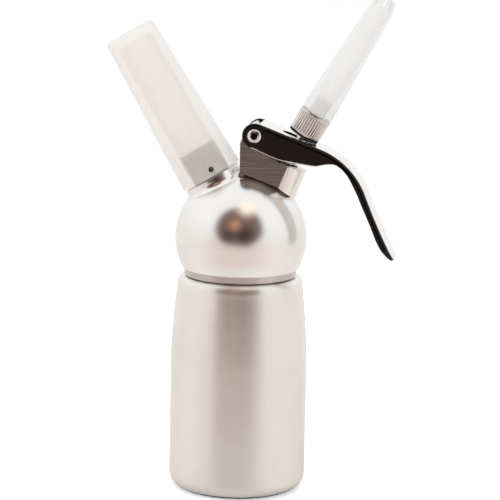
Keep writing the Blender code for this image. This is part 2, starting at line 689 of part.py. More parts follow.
def make_valve():
    """What slides with the stem, and the guide nut, O-ring and spring that stay in the boss."""
    seal_top = VALVE_SEAT - GAP
    seal_bottom = seal_top - SEAL_THICK
    nut_top = seal_bottom - GAP
    nut_bottom = nut_top - SEAL_NUT_THICK
    port = VALVE_SEAT + 2 * STEM_PORT_RADIUS
    bore_floor = port - STEM_PORT_RADIUS
    stem = [(0, bore_floor), (STEM_BORE, bore_floor), (STEM_BORE, STEM_TOP), (STEM_RADIUS, STEM_TOP)]
    stem += [(STEM_RADIUS, nut_bottom - STEM_TAIL), (0, nut_bottom - STEM_TAIL)]
    stem = turned("valve_stem", stem, NOZZLE_FRAME)
    port_place = NOZZLE_FRAME.matrix_world @ Matrix.Translation((0, 0, port)) @ ON_ITS_SIDE
    port_frame = frame("stem_port", port_place)
    bpy.context.view_layer.update()
    reach = STEM_RADIUS + OVERRUN
    boolean(stem, plug("port_cut", STEM_PORT_RADIUS, reach, -reach, port_frame), "DIFFERENCE")
    finish(stem, LOOKS["polished"])

    small = SEAL_RADIUS * SEAL_FOOT_SHARE
    seal = [(STEM_HOLE, seal_top), (SEAL_RADIUS, seal_top), (SEAL_RADIUS, seal_top - SEAL_THICK / 3)]
    seal += [(small, seal_bottom), (STEM_HOLE, seal_bottom)]
    finish(turned("valve_seal", seal, NOZZLE_FRAME, closed=True), LOOKS["black_rubber"])
    seal_nut = hexagon("valve_seal_nut", SEAL_NUT_RADIUS, nut_top, nut_bottom, STEM_HOLE, NOZZLE_FRAME)
    finish(seal_nut, LOOKS["brass"])

    spot = PLATFORM_ALONG - SPOT_DEPTH
    thick = (NUT_BORE - GAP - STEM_HOLE) / 2
    centre = spot - NUT_BORE_DEPTH + GAP + thick
    section = arc((STEM_HOLE + thick, centre), thick, 90, -270, O_RING_STEPS)[:-1]
    finish(turned("stem_o_ring", section, NOZZLE_FRAME, closed=True), LOOKS["black_rubber"])

    flange = spot + GAP
    body_end = centre + thick + GAP
    nut_face = flange + GUIDE_NUT_THICK
    nut = hexagon("guide_nut", GUIDE_NUT_RADIUS, nut_face, flange, STEM_HOLE, NOZZLE_FRAME)
    body = ring("nut_body", NUT_BORE - GAP, STEM_HOLE, flange + GAP, body_end, NOZZLE_FRAME)
    finish(join(nut, bake(body)), LOOKS["polished"])

    washer_bottom = WASHER_TOP - PRESS_WASHER_THICK
    washer = ring("press_washer", PRESS_WASHER_RADIUS, STEM_HOLE, WASHER_TOP, washer_bottom, NOZZLE_FRAME)
    finish(washer, LOOKS["polished"])
    make_spring(nut_face + GAP, washer_bottom - GAP)


def make_spring(bottom, top):
    """The helical return spring, one unbroken wire between two heights on the nozzle's axis."""
    low = bottom + SPRING_WIRE / 2
    high = top - SPRING_WIRE / 2
    count = round(SPRING_CURLS * SPRING_CURL_POINTS)
    points = []
    for i in range(count + 1):
        a = math.tau * i / SPRING_CURL_POINTS
        height = low + (high - low) * i / count
        points.append((SPRING_RADIUS * math.cos(a), SPRING_RADIUS * math.sin(a), height))
    least = min(
        math.dist(p, q) for i, p in enumerate(points) for q in points[i + SPRING_CURL_POINTS // 2:]
    )
    print(f"valve_spring: least gap between curls {(least - SPRING_WIRE) * 1000:.2f} mm")
    curve = bpy.data.curves.new("valve_spring", "CURVE")
    curve.dimensions = "3D"
    curve.bevel_depth = SPRING_WIRE / 2
    curve.bevel_resolution = 1
    curve.use_fill_caps = True
    spline = curve.splines.new("POLY")
    spline.points.add(count)
    for point, place in zip(spline.points, points):
        point.co = (*place, 1)
    finish(add("valve_spring", curve, NOZZLE_FRAME), LOOKS["spring"])


def lever_run(run):
    """Place and slope of the lever's top at a distance along it, in the ball's XZ plane."""
    def facing(slope):
        return Vector((math.sin(slope), math.cos(slope)))

    along = Vector((math.cos(WEB_SLOPE), -math.sin(WEB_SLOPE)))
    place = Vector((PIN_OUT, PIN_UP)) + facing(WEB_SLOPE) * EAR_RADIUS
    place += along * min(run, WEB_LENGTH)
    knee = ARM_SLOPE - WEB_SLOPE
    turned_by = min(max(run - WEB_LENGTH, 0) / KNEE_RADIUS, knee)
    slope = WEB_SLOPE + turned_by
    place += KNEE_RADIUS * (facing(slope) - facing(WEB_SLOPE))
    on_arm = max(run - WEB_LENGTH - KNEE_RADIUS * knee, 0)
    if on_arm:
        flare_radius = ARM_LENGTH / TIP_FLARE
        slope = ARM_SLOPE - on_arm / flare_radius
        place += flare_radius * (facing(ARM_SLOPE) - facing(slope))
    return place, slope


def share_at(table, share):
    """Value at a share of the length, between the rows of a table of shares."""
    for (low, before), (high, after) in zip(table, table[1:]):
        if share <= high:
            return before + (after - before) * (share - low) / (high - low)
    return table[-1][1]


def channel_section(half, depth):
    """Points (across, below the top) of the channel's section: outside from edge to edge, then back."""
    bend = min(LEVER_BEND, depth * BEND_DEPTH_SHARE)
    inner_bend = max(bend - LEVER_SHEET, LEVER_SHEET / 4)
    side = [(half, depth), *arc((half - bend, bend), bend, 0, -90, CHANNEL_BEND_STEPS)]
    inner_half = half - LEVER_SHEET
    inner_centre = (inner_half - inner_bend, LEVER_SHEET + inner_bend)
    inside = [(inner_half, depth), *arc(inner_centre, inner_bend, 0, -90, CHANNEL_BEND_STEPS)]
    outer = side + [(-y, w) for y, w in reversed(side)]
    inner = inside + [(-y, w) for y, w in reversed(inside)]
    return outer + inner[::-1]


def make_lever():
    """The stamped channel: a section carried along the web, knee and arm, with ears round the pin."""
    total = WEB_LENGTH + KNEE_RADIUS * (ARM_SLOPE - WEB_SLOPE) + ARM_LENGTH
    tip_start = total - LEVER_TIP_LENGTH
    runs = [tip_start * i / LEVER_STATIONS for i in range(LEVER_STATIONS + 1)]
    for i in range(1, ARC_STEPS + 1):
        runs.append(tip_start + LEVER_TIP_LENGTH * math.sin(math.radians(90) * i / ARC_STEPS))
    rings = []
    for run in runs:
        place, slope = lever_run(run)
        inward = Vector((-math.sin(slope), -math.cos(slope)))
        depth = WALL_DEEPEST * share_at(WALL_DEPTH_SHARES, run / total)
        past = max(run - tip_start, 0) / LEVER_TIP_LENGTH
        narrow = 1 - (1 - LEVER_TIP_WIDTH_SHARE) * (1 - math.sqrt(max(1 - past**2, 0)))
        section = channel_section(LEVER_WIDTH / 2 * narrow, depth)
        rings.append([(place.x + inward.x * w, y, place.y + inward.y * w) for y, w in section])
    lever = loft("lever", rings, HEAD_FRAME)
    half = LEVER_WIDTH / 2
    for name, outer in (("near_ear", half), ("far_ear", LEVER_SHEET - half)):
        inner = outer - LEVER_SHEET
        disc = [(0, outer), (EAR_RADIUS, outer), (EAR_RADIUS, inner), (0, inner)]
        lever = join(lever, bake(turned(name, disc, PIN_FRAME, TIP_FACETS)))
    front = SLOT_FRONT - SLOT_HALF_WIDTH
    back = SLOT_BACK - SLOT_HALF_WIDTH
    slot, _ = round_outline(SLOT_HALF_WIDTH, SMALL_FACETS)
    slot = [(x + front if x > 0 else x - back, y) for x, y in slot]
    walls = [[(x, y, z) for x, y in slot] for z in (-OVERRUN, OVERRUN)]
    boolean(lever, loft("slot_cut", walls, WEB_FRAME, cutter=True), "DIFFERENCE")
    reach = half + OVERRUN
    boolean(lever, plug("ear_cut", PIN_RADIUS + SLIDE_GAP, reach, -reach, PIN_FRAME), "DIFFERENCE")
    finish(lever, LOOKS["dark"])


def make_lever_pin():
    """The pin with its recessed head towards the viewer, and the retaining ring in its groove behind."""
    seat = LEVER_WIDTH / 2 + GAP
    top = seat + PIN_HEAD_THICK
    edge = PIN_RECESS_DEPTH / 2
    groove = PIN_RADIUS - CLIP_GROOVE
    groove_end = -seat - CLIP_THICK - 2 * GAP
    floor = top - PIN_RECESS_DEPTH
    pin = [(0, floor), (PIN_RECESS_RADIUS, floor), (PIN_RECESS_RADIUS, top)]
    pin += [(PIN_HEAD_RADIUS - edge, top), (PIN_HEAD_RADIUS, top - edge), (PIN_HEAD_RADIUS, seat)]
    pin += [(PIN_RADIUS, seat), (PIN_RADIUS, -seat), (groove, -seat)]
    pin += [(groove, groove_end), (PIN_RADIUS, groove_end)]
    pin += [(PIN_RADIUS, groove_end - PIN_TAIL), (0, groove_end - PIN_TAIL)]
    finish(turned("lever_pin", pin, PIN_FRAME), LOOKS["polished"])

    clip_face = -seat - GAP
    clip = ring("lever_pin_clip", CLIP_RADIUS, groove + GAP, clip_face, clip_face - CLIP_THICK, PIN_FRAME)
    mouth = groove - GAP
    reach = CLIP_RADIUS + OVERRUN
    corners = [(0, -mouth), (reach, -mouth), (reach, mouth), (0, mouth)]
    levels = [[(x, y, z) for x, y in corners] for z in (-seat - 2 * OVERRUN, -seat + OVERRUN)]
    boolean(clip, loft("clip_cut", levels, PIN_FRAME, cutter=True), "DIFFERENCE")
    finish(clip, LOOKS["spring"])


def make_adaptor():
    """The knurled collar with its threaded stub, and the black ring under it."""
    def knurl(radius, height):
        points = []
        for i in range(2 * KNURL_RIBS):
            a = math.pi * i / KNURL_RIBS
            r = radius - KNURL_DEPTH * (i % 2)
            points.append((r * math.cos(a), r * math.sin(a), height))
        return points

    top = COLLAR_BOTTOM + COLLAR_LENGTH
    levels = [
        knurl(COLLAR_RADIUS - COLLAR_EDGE, COLLAR_BOTTOM),
        knurl(COLLAR_RADIUS, COLLAR_BOTTOM + COLLAR_EDGE),
        knurl(COLLAR_TOP_RADIUS, top - COLLAR_EDGE),
        knurl(COLLAR_TOP_RADIUS - COLLAR_EDGE, top),
    ]
    collar = loft("nozzle_adaptor", levels, NOZZLE_FRAME)
    root = STUB_RADIUS - STUB_THREAD_DEPTH
    stub_top = top + STUB_LENGTH
    thread = threads(root, STUB_RADIUS, stub_top - COLLAR_EDGE, top + COLLAR_EDGE, STUB_THREADS)
    stub = [(0, stub_top), (root, stub_top), *thread, (root, top - COLLAR_EDGE), (0, top - COLLAR_EDGE)]
    collar = join(collar, bake(turned("stub", stub, NOZZLE_FRAME)))
    step = STEM_TOP + GAP
    bore = [(0, stub_top + OVERRUN), (STEM_BORE, stub_top + OVERRUN), (STEM_BORE, step), (STEM_HOLE, step)]
    bore += [(STEM_HOLE, COLLAR_BOTTOM - OVERRUN), (0, COLLAR_BOTTOM - OVERRUN)]
    boolean(collar, turned("adaptor_cut", bore, NOZZLE_FRAME, cutter=True), "DIFFERENCE")
    finish(collar, LOOKS["polished"])

    ring_top = COLLAR_BOTTOM - GAP
    ring_bottom = ring_top - ADAPTOR_RING_THICK
    piece = ring("adaptor_ring", COLLAR_RADIUS, STEM_HOLE, ring_top, ring_bottom, NOZZLE_FRAME, TIP_FACETS)
    finish(piece, LOOKS["black_rubber"])


def make_tip():
    """The decorating tip: a tapered tube that closes to a star-slotted end."""
    base = COLLAR_BOTTOM + COLLAR_LENGTH + GAP
    top = base + TIP_LENGTH
    neck = top - TIP_CLOSING
    shoulder = base + STUB_LENGTH + COLLAR_EDGE
    socket = STUB_RADIUS + SLIDE_GAP
    outside = [(TIP_END_RADIUS, top), (TIP_NECK_RADIUS - TIP_WALL / 3, neck + TIP_CLOSING / 3)]
    outside += [(TIP_NECK_RADIUS, neck), (TIP_RADIUS, base + COLLAR_EDGE), (TIP_RADIUS - COLLAR_EDGE, base)]
    inside = [(socket, base), (socket, shoulder), (TIP_RADIUS - 2 * TIP_WALL, shoulder + 2 * TIP_WALL)]
    inside += [(TIP_NECK_RADIUS - TIP_WALL, neck), (TIP_END_RADIUS - TIP_WALL, top - TIP_END_WALL)]
    outline = [(0, top), *outside, *inside, (0, top - TIP_END_WALL)]
    tip = turned("decorating_tip", outline, NOZZLE_FRAME, TIP_FACETS)
    reach = TIP_NECK_RADIUS
    spread = math.asin(STAR_SLOT / 2 / reach)
    centre = STAR_SLOT / 2 / math.sin(math.pi / STAR_POINTS)
    star = []
    for i in range(STAR_POINTS):
        a = math.tau * i / STAR_POINTS
        for r, turn in ((reach, a - spread), (reach, a + spread), (centre, a + math.pi / STAR_POINTS)):
            star.append((r * math.cos(turn), r * math.sin(turn)))
    levels = [[(x, y, z) for x, y in star] for z in (top - TIP_CLOSING * STAR_DEPTH_SHARE, top + OVERRUN)]
    boolean(tip, loft("star_cut", levels, NOZZLE_FRAME, cutter=True), "DIFFERENCE")
    finish(tip, LOOKS["frosted"])


def build():
    make_bottle()
    make_head()
    make_head_gasket()
    make_charger_stud()
    make_charger_holder()
    make_valve()
    make_lever()
    make_lever_pin()
    make_adaptor()
    make_tip()


ON_ITS_SIDE = Matrix.Rotation(math.radians(90), 4, "X")


clear_scene()
PARTS = collection("whipped_cream_dispenser")
CUTTERS = collection("cutters")
CUTTERS.hide_render = True
LOOKS = make_looks()

HEAD_FRAME = frame("head_frame", Matrix.Translation((0, 0, BALL_HEIGHT)))
NOZZLE_FRAME = frame("nozzle_axis", HEAD_FRAME.matrix_world @ Matrix.Rotation(NOZZLE_LEAN, 4, "Y"))
CHARGER_FRAME = frame(
    "charger_axis",
    HEAD_FRAME.matrix_world
    @ Matrix.Translation((0, 0, CHARGER_AXIS_RISE))
    @ Matrix.Rotation(-CHARGER_LEAN, 4, "Y"),
)
BOSS_FRAME = frame(
    "boss_axis",
    NOZZLE_FRAME.matrix_world
    @ Matrix.Translation((0, 0, PLATFORM_ALONG))
    @ Matrix.Rotation(BOSS_LEAN - NOZZLE_LEAN, 4, "Y"),
)
PIN_FRAME = frame(
    "lever_hinge",
    Matrix.Translation((PIN_OUT, 0, PIN_HEIGHT)) @ Matrix.Rotation(math.radians(90), 4, "X"),
)
WEB_FRAME = frame(
    "web_slot",
    NOZZLE_FRAME.matrix_world
    @ Matrix.Translation((0, 0, WEB_ON_STEM))
    @ Matrix.Rotation(-WEB_TILT, 4, "Y"),
)
VENT_FRAME = frame(
    "vent_axis",
    CHARGER_FRAME.matrix_world
    @ Matrix.Translation((0, 0, SEAT_TOP + HOLDER_GAP + VENT_RISE))
    @ Matrix.Rotation(VENT_TURN, 4, "Z")
    @ ON_ITS_SIDE,
)
bpy.context.view_layer.update()
build()
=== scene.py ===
"""Looks of the whipped cream dispenser: finer pieces over the CAD model, materials, light and camera.

Metres, +Z up, with the origin at the centre of the bottle's base.
"""

from math import asin, atan2, cos, degrees, hypot, pi, radians, sin, sqrt, tan, tau

import bmesh
import bpy
from mathutils import Matrix, Vector


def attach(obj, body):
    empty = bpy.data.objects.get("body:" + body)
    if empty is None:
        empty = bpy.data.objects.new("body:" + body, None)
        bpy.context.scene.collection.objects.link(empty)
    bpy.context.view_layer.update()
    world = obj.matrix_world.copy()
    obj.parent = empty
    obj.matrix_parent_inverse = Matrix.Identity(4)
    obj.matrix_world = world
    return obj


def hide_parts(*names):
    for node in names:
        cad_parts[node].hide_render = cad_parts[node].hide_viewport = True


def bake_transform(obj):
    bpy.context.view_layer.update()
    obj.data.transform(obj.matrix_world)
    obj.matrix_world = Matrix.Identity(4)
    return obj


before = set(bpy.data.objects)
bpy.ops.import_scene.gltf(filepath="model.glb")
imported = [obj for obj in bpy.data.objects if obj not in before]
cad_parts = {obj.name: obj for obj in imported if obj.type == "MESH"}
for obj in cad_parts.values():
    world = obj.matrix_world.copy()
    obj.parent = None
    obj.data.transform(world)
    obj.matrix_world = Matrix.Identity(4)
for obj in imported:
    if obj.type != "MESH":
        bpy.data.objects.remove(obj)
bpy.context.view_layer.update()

# Fineness
FACETS = 128
FINE_FACETS = 64
HOLE_FACETS = 32
ARC_STEPS = 10
MERGE = 0.000001
SHARP_ANGLE = radians(34)
OVERRUN = 0.004
GAP = 0.0003
SUNK = 0.00002
CORNER_SHARE = 0.45

# Bottle
BOTTLE_RADIUS = 0.0353
BOTTLE_HEIGHT = 0.1112
BOTTLE_WALL = 0.0018
BASE_ROUND = 0.007
BASE_DEGREES = 84
BASE_STEP = 0.0004
SHADED_BASE_HEIGHT = 0.0016
SHOULDER_TALL = 0.0057
TAPER_TALL = 0.0395
TAPER_DROP = 0.0029
TAPER_POWER = 1.6
NECK_RADIUS = 0.0258
RIM_STEP = 0.0034
NECK_HEIGHT = 0.0124
NECK_THREAD_DEPTH = 0.0009
NECK_THREAD_PITCH = 0.0032
NECK_THREADS = 3
EDGE = 0.0005

# Head
BALL_RADIUS = 0.0336
BALL_HEIGHT = 0.1310
NECK_RING_RADIUS = 0.0288
NECK_RING_TALL = 0.0040
RING_CLEAR = radians(2)
GASKET_THICK = 0.0018
GASKET_INNER_RADIUS = 0.0225
DOME_HEIGHT = 0.0275
HEAD_THREAD_COUNT = 2
CHARGER_LEAN = radians(31.3)
CHARGER_AXIS_RISE = 0.0054
SEAT_RADIUS = 0.0150
SEAT_TOP = 0.0298
SEAT_FILLET = 0.0045
NOZZLE_LEAN = radians(30)
BOSS_LEAN = radians(21.6)
BOSS_WIDTH = 0.0195
BOSS_FILLET = 0.0030
PLATFORM_ALONG = 0.0457
BOSS_END_SHIFT = 0.0010
LUG_SINK = 0.0046
LUG_CORNER = 0.0040
LUG_RIGHT = 0.0048
LUG_NUB = 0.0058
LUG_FOOT_ROUND = 0.0055
LUG_STEP_DEGREES = 28
LUG_FOOT_SHARE = 0.7
SPOT_RADIUS = 0.0060
SPOT_DEPTH = 0.0008
CASTING_EDGE = 0.00045
FILLET_SHARE = 0.8
FLAT_FACING = 0.995
SIDE_FACING = 0.6

# Lever pin and lever
PIN_OUT = 0.0074
PIN_UP = 0.0540
PIN_RADIUS = 0.0021
PIN_HEAD_RADIUS = 0.0036
PIN_HEAD_THICK = 0.0014
PIN_RECESS_RADIUS = 0.0018
PIN_RECESS_DEPTH = 0.0012
CLIP_THICK = 0.0008
CLIP_GROOVE = 0.0006
PIN_TAIL = 0.0008
PIN_DOME_DEGREES = (68, 8)
LEVER_WIDTH = 0.0225
LEVER_SHEET = 0.0012
LEVER_BEND = 0.0020
EAR_RADIUS = 0.0064
WEB_SLOPE = radians(20.5)
WEB_LENGTH = 0.0336
ARM_LENGTH = 0.0361
WALL_DEEPEST = 0.0132
KNEE_RADIUS = 0.0400
ARM_SLOPE = radians(68.5)
TIP_FLARE = radians(7)
LEVER_STATIONS = 110
EAR_PROUD = 0.00003
LEVER_EDGE_FACES = 5
SLOT_HALF_WIDTH = 0.0038
SLOT_BACK = 0.0100
SLOT_FRONT = 0.0046
LEVER_TIP_LENGTH = 0.0075
WALL_DEPTH_SHARES = (
    (0.00, 0.97), (0.15, 1.00), (0.21, 0.91), (0.31, 0.74), (0.34, 0.65), (0.38, 0.45), (0.42, 0.26),
    (0.45, 0.21), (0.50, 0.21), (0.60, 0.28), (0.78, 0.25), (0.91, 0.27), (1.00, 0.12),
)
LEVER_TIP_WIDTH_SHARE = 0.52
BEND_DEPTH_SHARE = 0.72

# Valve, along the nozzle's axis
STEM_BORE = 0.0014
STEM_HOLE = 0.0030
VALVE_BORE = 0.0040
NUT_BORE = 0.0047
NUT_BORE_DEPTH = 0.0092
VALVE_SEAT = 0.0278
SEAL_POCKET = 0.0072
SEAL_POCKET_DEPTH = 0.0120
SPRING_WIRE = 0.0010
SPRING_RADIUS = 0.0043
SPRING_BOTTOM = 0.0477
SPRING_TOP = 0.0561
SPRING_CURLS = 4.5
SPRING_CURL_POINTS = 32
SPRING_WIRE_POINTS = 12
SPRING_END_CLOSE = 0.4

# Collar, stub and tip, along the nozzle's axis
COLLAR_BOTTOM = 0.0633
COLLAR_LENGTH = 0.0119
COLLAR_RADIUS = 0.0081
COLLAR_TOP_RADIUS = 0.00845
KNURL_RIBS = 36
KNURL_DEPTH = 0.00045
KNURL_POINTS = 8
KNURL_POWER = 3
KNURL_DARK_SHARE = 0.45
KNURL_END_SHARE = 0.1
COLLAR_EDGE = 0.0006
STUB_RADIUS = 0.0043
STUB_LENGTH = 0.0085
STUB_THREADS = 5
STUB_THREAD_DEPTH = 0.0004
TIP_LENGTH = 0.0685
TIP_RADIUS = 0.0085
TIP_NECK_RADIUS = 0.0064
TIP_END_RADIUS = 0.0046
TIP_CLOSING = 0.0075
TIP_WALL = 0.0014
TIP_END_WALL = 0.0016
STAR_POINTS = 8
STAR_SLOT = 0.0011
STAR_DEPTH_SHARE = 0.75

# Charger holder and its stud, along the charger's axis
HOLDER_LENGTH = 0.0850
HOLDER_RADIUS = 0.0161
HOLDER_TOP_RADIUS = 0.0136
HOLDER_TOP_ROUND = 0.0024
HOLDER_TOP_DEGREES = (8, 84)
HOLDER_GAP = 0.0005
HOLDER_BORE = 0.0098
HOLDER_TOP_WALL = 0.0050
HOLDER_FLUTES = 8
FLUTE_FACETS = 16
FLUTE_DEPTH = 0.0010
FLUTE_START_SHARE = 0.30
HOLDER_STATIONS = 24
STUD_RADIUS = 0.0099
STUD_HEIGHT = 0.0160
STUD_PLAIN = 0.0048
STUD_THREADS = 7
STUD_THREAD_DEPTH = 0.0005
STUD_SHANK_RADIUS = 0.0060
STUD_SHANK_LENGTH = 0.0128
STUD_EDGE = 0.0005
STUD_BORE = 0.0022
SOCKET_RADIUS = 0.0048
SOCKET_DEPTH = 0.0105
VENT_RADIUS = 0.0015
VENT_RISE = 0.0036
VENT_TURN = radians(17)

# Places that follow from the above
HEAD_BOTTOM = BOTTLE_HEIGHT + GAP
RIM_HEIGHT = BOTTLE_HEIGHT + NECK_HEIGHT
GASKET_STEP = RIM_HEIGHT + GAP + GASKET_THICK + GAP
WEB_TILT = NOZZLE_LEAN - WEB_SLOPE
LEVER_ARM = PIN_UP * sin(NOZZLE_LEAN) - PIN_OUT * cos(NOZZLE_LEAN)
PIN_ALONG = PIN_OUT * sin(NOZZLE_LEAN) + PIN_UP * cos(NOZZLE_LEAN)
WEB_ON_STEM = PIN_ALONG + (EAR_RADIUS - LEVER_SHEET) / cos(WEB_TILT) + LEVER_ARM * tan(WEB_TILT)
ON_ITS_SIDE = Matrix.Rotation(radians(90), 4, "X")
HEAD = Matrix.Translation((0, 0, BALL_HEIGHT))
NOZZLE = HEAD @ Matrix.Rotation(NOZZLE_LEAN, 4, "Y")
CHARGER = HEAD @ Matrix.Translation((0, 0, CHARGER_AXIS_RISE)) @ Matrix.Rotation(-CHARGER_LEAN, 4, "Y")
PLATFORM = NOZZLE @ Matrix.Translation((0, 0, PLATFORM_ALONG))
BOSS = PLATFORM @ Matrix.Rotation(BOSS_LEAN - NOZZLE_LEAN, 4, "Y")
PIN = Matrix.Translation((PIN_OUT, 0, BALL_HEIGHT + PIN_UP)) @ ON_ITS_SIDE
WEB = NOZZLE @ Matrix.Translation((0, 0, WEB_ON_STEM)) @ Matrix.Rotation(-WEB_TILT, 4, "Y")
VENT = (
    CHARGER
    @ Matrix.Translation((0, 0, SEAT_TOP + HOLDER_GAP + VENT_RISE))
    @ Matrix.Rotation(VENT_TURN, 4, "Z")
    @ ON_ITS_SIDE
)

# Metals: dark and light colour, roughness from low to high, the grain's stretch along Z, its scale and height
BALL_COLOURS = ((0.88, 0.87, 0.855), (0.91, 0.90, 0.885))
FAINT = 0.000002
TURNED = 0.8
METALS = {
    "satin_bottle": ((0.85, 0.822, 0.794), (0.88, 0.854, 0.828), (0.31, 0.37), 40, 45, 2 * FAINT, 0, TURNED),
    # Painted shade: a near-black copy of the aluminium for the lowest strip of the base
    "base_painted_shade": ((0.05, 0.042, 0.038), (0.08, 0.067, 0.061), (0.34, 0.42), 1, 200),
    "satin_ball": (*BALL_COLOURS, (0.18, 0.23), 8, 160),
    "bright_casting": (*BALL_COLOURS, (0.22, 0.265), 8, 160),
    # Painted shade for the fillet beside the boss's flat sides
    "fillet_painted_shade": ((0.09, 0.07, 0.062), (0.15, 0.12, 0.11), (0.29, 0.35), 8, 160),
    "polished_ring": ((0.50, 0.47, 0.445), (0.62, 0.59, 0.565), (0.20, 0.26), 30, 90, FAINT, 0, TURNED),
    # Painted shade: the stud is coloured dark brown-grey rather than bright steel, for its place inside the
    # frosted holder
    "turned_stud_painted_shade": ((0.24, 0.20, 0.185), (0.34, 0.295, 0.275), (0.18, 0.26), 12, 120),
    # Bare steel inside the lever's channel, also used as a painted highlight on the web's free edges
    "bare_steel_and_edge_highlight": ((0.82, 0.80, 0.78), (0.90, 0.88, 0.86), (0.29, 0.38), 1, 200),
    "bright_steel": ((0.74, 0.73, 0.71), (0.84, 0.83, 0.81), (0.10, 0.18), 12, 120),
    "nickel_collar": ((0.70, 0.67, 0.65), (0.80, 0.77, 0.75), (0.20, 0.26), 1, 150, FAINT, -NOZZLE_LEAN),
    # Painted shade for the faces deep in the knurl's grooves
    "knurl_groove_painted_shade": ((0.26, 0.225, 0.21), (0.36, 0.32, 0.30), (0.30, 0.40), 1, 150),
    # Painted shade for the recess in the pin's head
    "pin_recess_painted_shade": ((0.012, 0.010, 0.009), (0.03, 0.026, 0.024), (0.30, 0.38), 1, 150),
    "spring_wire": ((0.54, 0.52, 0.50), (0.66, 0.64, 0.62), (0.28, 0.36), 3, 300, 3 * FAINT),
    "bare_brass": ((0.62, 0.50, 0.30), (0.72, 0.60, 0.38), (0.28, 0.36), 8, 150, 4 * FAINT),
}

# Plastics: lean of the grain, dark and light colour, share of light let straight on, refractive index
PLASTICS = {
    "frosted_holder": (CHARGER_LEAN, (0.94, 0.918, 0.90), (0.972, 0.955, 0.94), 0.66, 1.34),
    "frosted_tip": (-NOZZLE_LEAN, (0.955, 0.955, 0.95), (0.975, 0.975, 0.97), 0.60, 1.40),
}
FROSTED_ROUGH = (0.30, 0.38)

# Rubbers: dark and light colour
RUBBERS = {
    "black_rubber_look": ((0.012, 0.012, 0.012), (0.03, 0.03, 0.03)),
    "grey_silicone_look": ((0.28, 0.27, 0.26), (0.36, 0.35, 0.34)),
}
RUBBER_ROUGH = (0.50, 0.72)

# CAD nodes that keep their own shape, by the material that they get
FINISHES = {
    "bright_steel": ("piercing_pin", "valve_stem", "guide_nut", "press_washer"),
    "bare_brass": ("check_valve_nut", "valve_seal_nut"),
    "spring_wire": ("lever_pin_clip",),
    "black_rubber_look": ("charger_gasket", "check_valve_seal", "valve_seal", "stem_o_ring", "adaptor_ring"),
    "grey_silicone_look": ("head_gasket",),
}

# Brushed sides of the boss, darkened as a painted reflection of the dark room, and black finish of the lever
# with a painted sheen where it is seen edge-on
BRUSHED_SHADED_DARK = (0.13, 0.112, 0.10)
BRUSHED_SHADED_LIGHT = (0.36, 0.325, 0.30)
BRUSHED_ROUGH = (0.29, 0.40)
NICKEL_BLACK = (0.013, 0.011, 0.0095)
NICKEL_PAINTED_SHEEN = (0.97, 0.96, 0.95)
NICKEL_ROUGH = (0.12, 0.20)
NICKEL_TURNS = (0.69, 0.84)

# The part of a noise texture's range that is used
NOISE_LOW = 0.3
NOISE_HIGH = 0.7


def to_mesh(name, shape):
    """A mesh from a bmesh, with its faces turned outwards."""
    bmesh.ops.recalc_face_normals(shape, faces=shape.faces)
    mesh = bpy.data.meshes.new(name)
    shape.to_mesh(mesh)
    shape.free()
    return mesh


def lathe(name, outline, where=Matrix(), facets=FACETS, closed=False):
    """A profile of (radius, height) points turned about the Z axis of `where`."""
    shape = bmesh.new()
    poles = {}
    for k, (radius, height) in enumerate(outline):
        if radius < MERGE:
            poles[k] = shape.verts.new(where @ Vector((0, 0, height)))
    columns = []
    for i in range(facets):
        a = tau * i / facets
        column = []
        for k, (radius, height) in enumerate(outline):
            point = Vector((radius * cos(a), radius * sin(a), height))
            column.append(poles[k] if k in poles else shape.verts.new(where @ point))
        columns.append(column)
    count = len(outline)
    for near, far in zip(columns, columns[1:] + columns[:1]):
        for k in range(count if closed else count - 1):
            j = (k + 1) % count
            corners = list(dict.fromkeys((near[k], near[j], far[j], far[k])))
            if len(corners) > 2:
                shape.faces.new(corners)
    return to_mesh(name, shape)


def loft(name, rings, where=Matrix()):
    """A closed solid through rings with the same number of points, capped at both ends."""
    shape = bmesh.new()
    made = [[shape.verts.new(where @ Vector(p)) for p in points] for points in rings]
    count = len(rings[0])
    for low, high in zip(made, made[1:]):
        for i in range(count):
            j = (i + 1) % count
            shape.faces.new((low[i], low[j], high[j], high[i]))
    shape.faces.new(list(reversed(made[0])))
    shape.faces.new(made[-1])
    return to_mesh(name, shape)


def arc(centre, radius, start, end, steps=ARC_STEPS):
    """Points on a circle's arc between two angles in degrees, both ends included."""
    angles = [radians(start + (end - start) * i / steps) for i in range(steps + 1)]
    return [(centre[0] + radius * cos(a), centre[1] + radius * sin(a)) for a in angles]


def curve(start, corner, end, steps):
    """Points on a smooth curve between two points that leans towards a corner, both ends included."""
    shares = [i / steps for i in range(steps + 1)]
    return [tuple((1 - t) ** 2 * start + 2 * t * (1 - t) * corner + t**2 * end) for t in shares]


def softened(outline, radius, steps=4, closed=False):
    """The outline with its corners rounded, by less where its edges are short. Points on the axis stay."""
    made = []
    count = len(outline)
    for i, point in enumerate(outline):
        at_end = not closed and i in (0, count - 1)
        if at_end or point[0] < MERGE:
            made.append(point)
            continue
        here = Vector(point)
        before = Vector(outline[i - 1]) - here
        after = Vector(outline[(i + 1) % count]) - here
        if before.length < MERGE or after.length < MERGE:
            continue
        cut = min(radius, before.length * CORNER_SHARE, after.length * CORNER_SHARE)
        made += curve(here + before.normalized() * cut, here, here + after.normalized() * cut, steps)
    return made


def threads(root, crest, top, bottom, count):
    """A thread's outline as ridges, from its top to its bottom."""
    pitch = (top - bottom) / count
    points = []
    for i in range(count):
        high = top - pitch * i
        points += [(root, high), (crest, high - pitch / 3), (crest, high - pitch / 2)]
        points.append((root, high - pitch * 5 / 6))
    return points


def ribbed(radius, height, depth, ribs, rib_points, power=1):
    """A ring of points about the Z axis, with ribs and with grooves of this depth between them."""
    points = []
    for i in range(ribs * rib_points):
        a = tau * i / (ribs * rib_points)
        r = radius - depth * ((1 - cos(ribs * a)) / 2) ** power
        points.append((r * cos(a), r * sin(a), height))
    return points


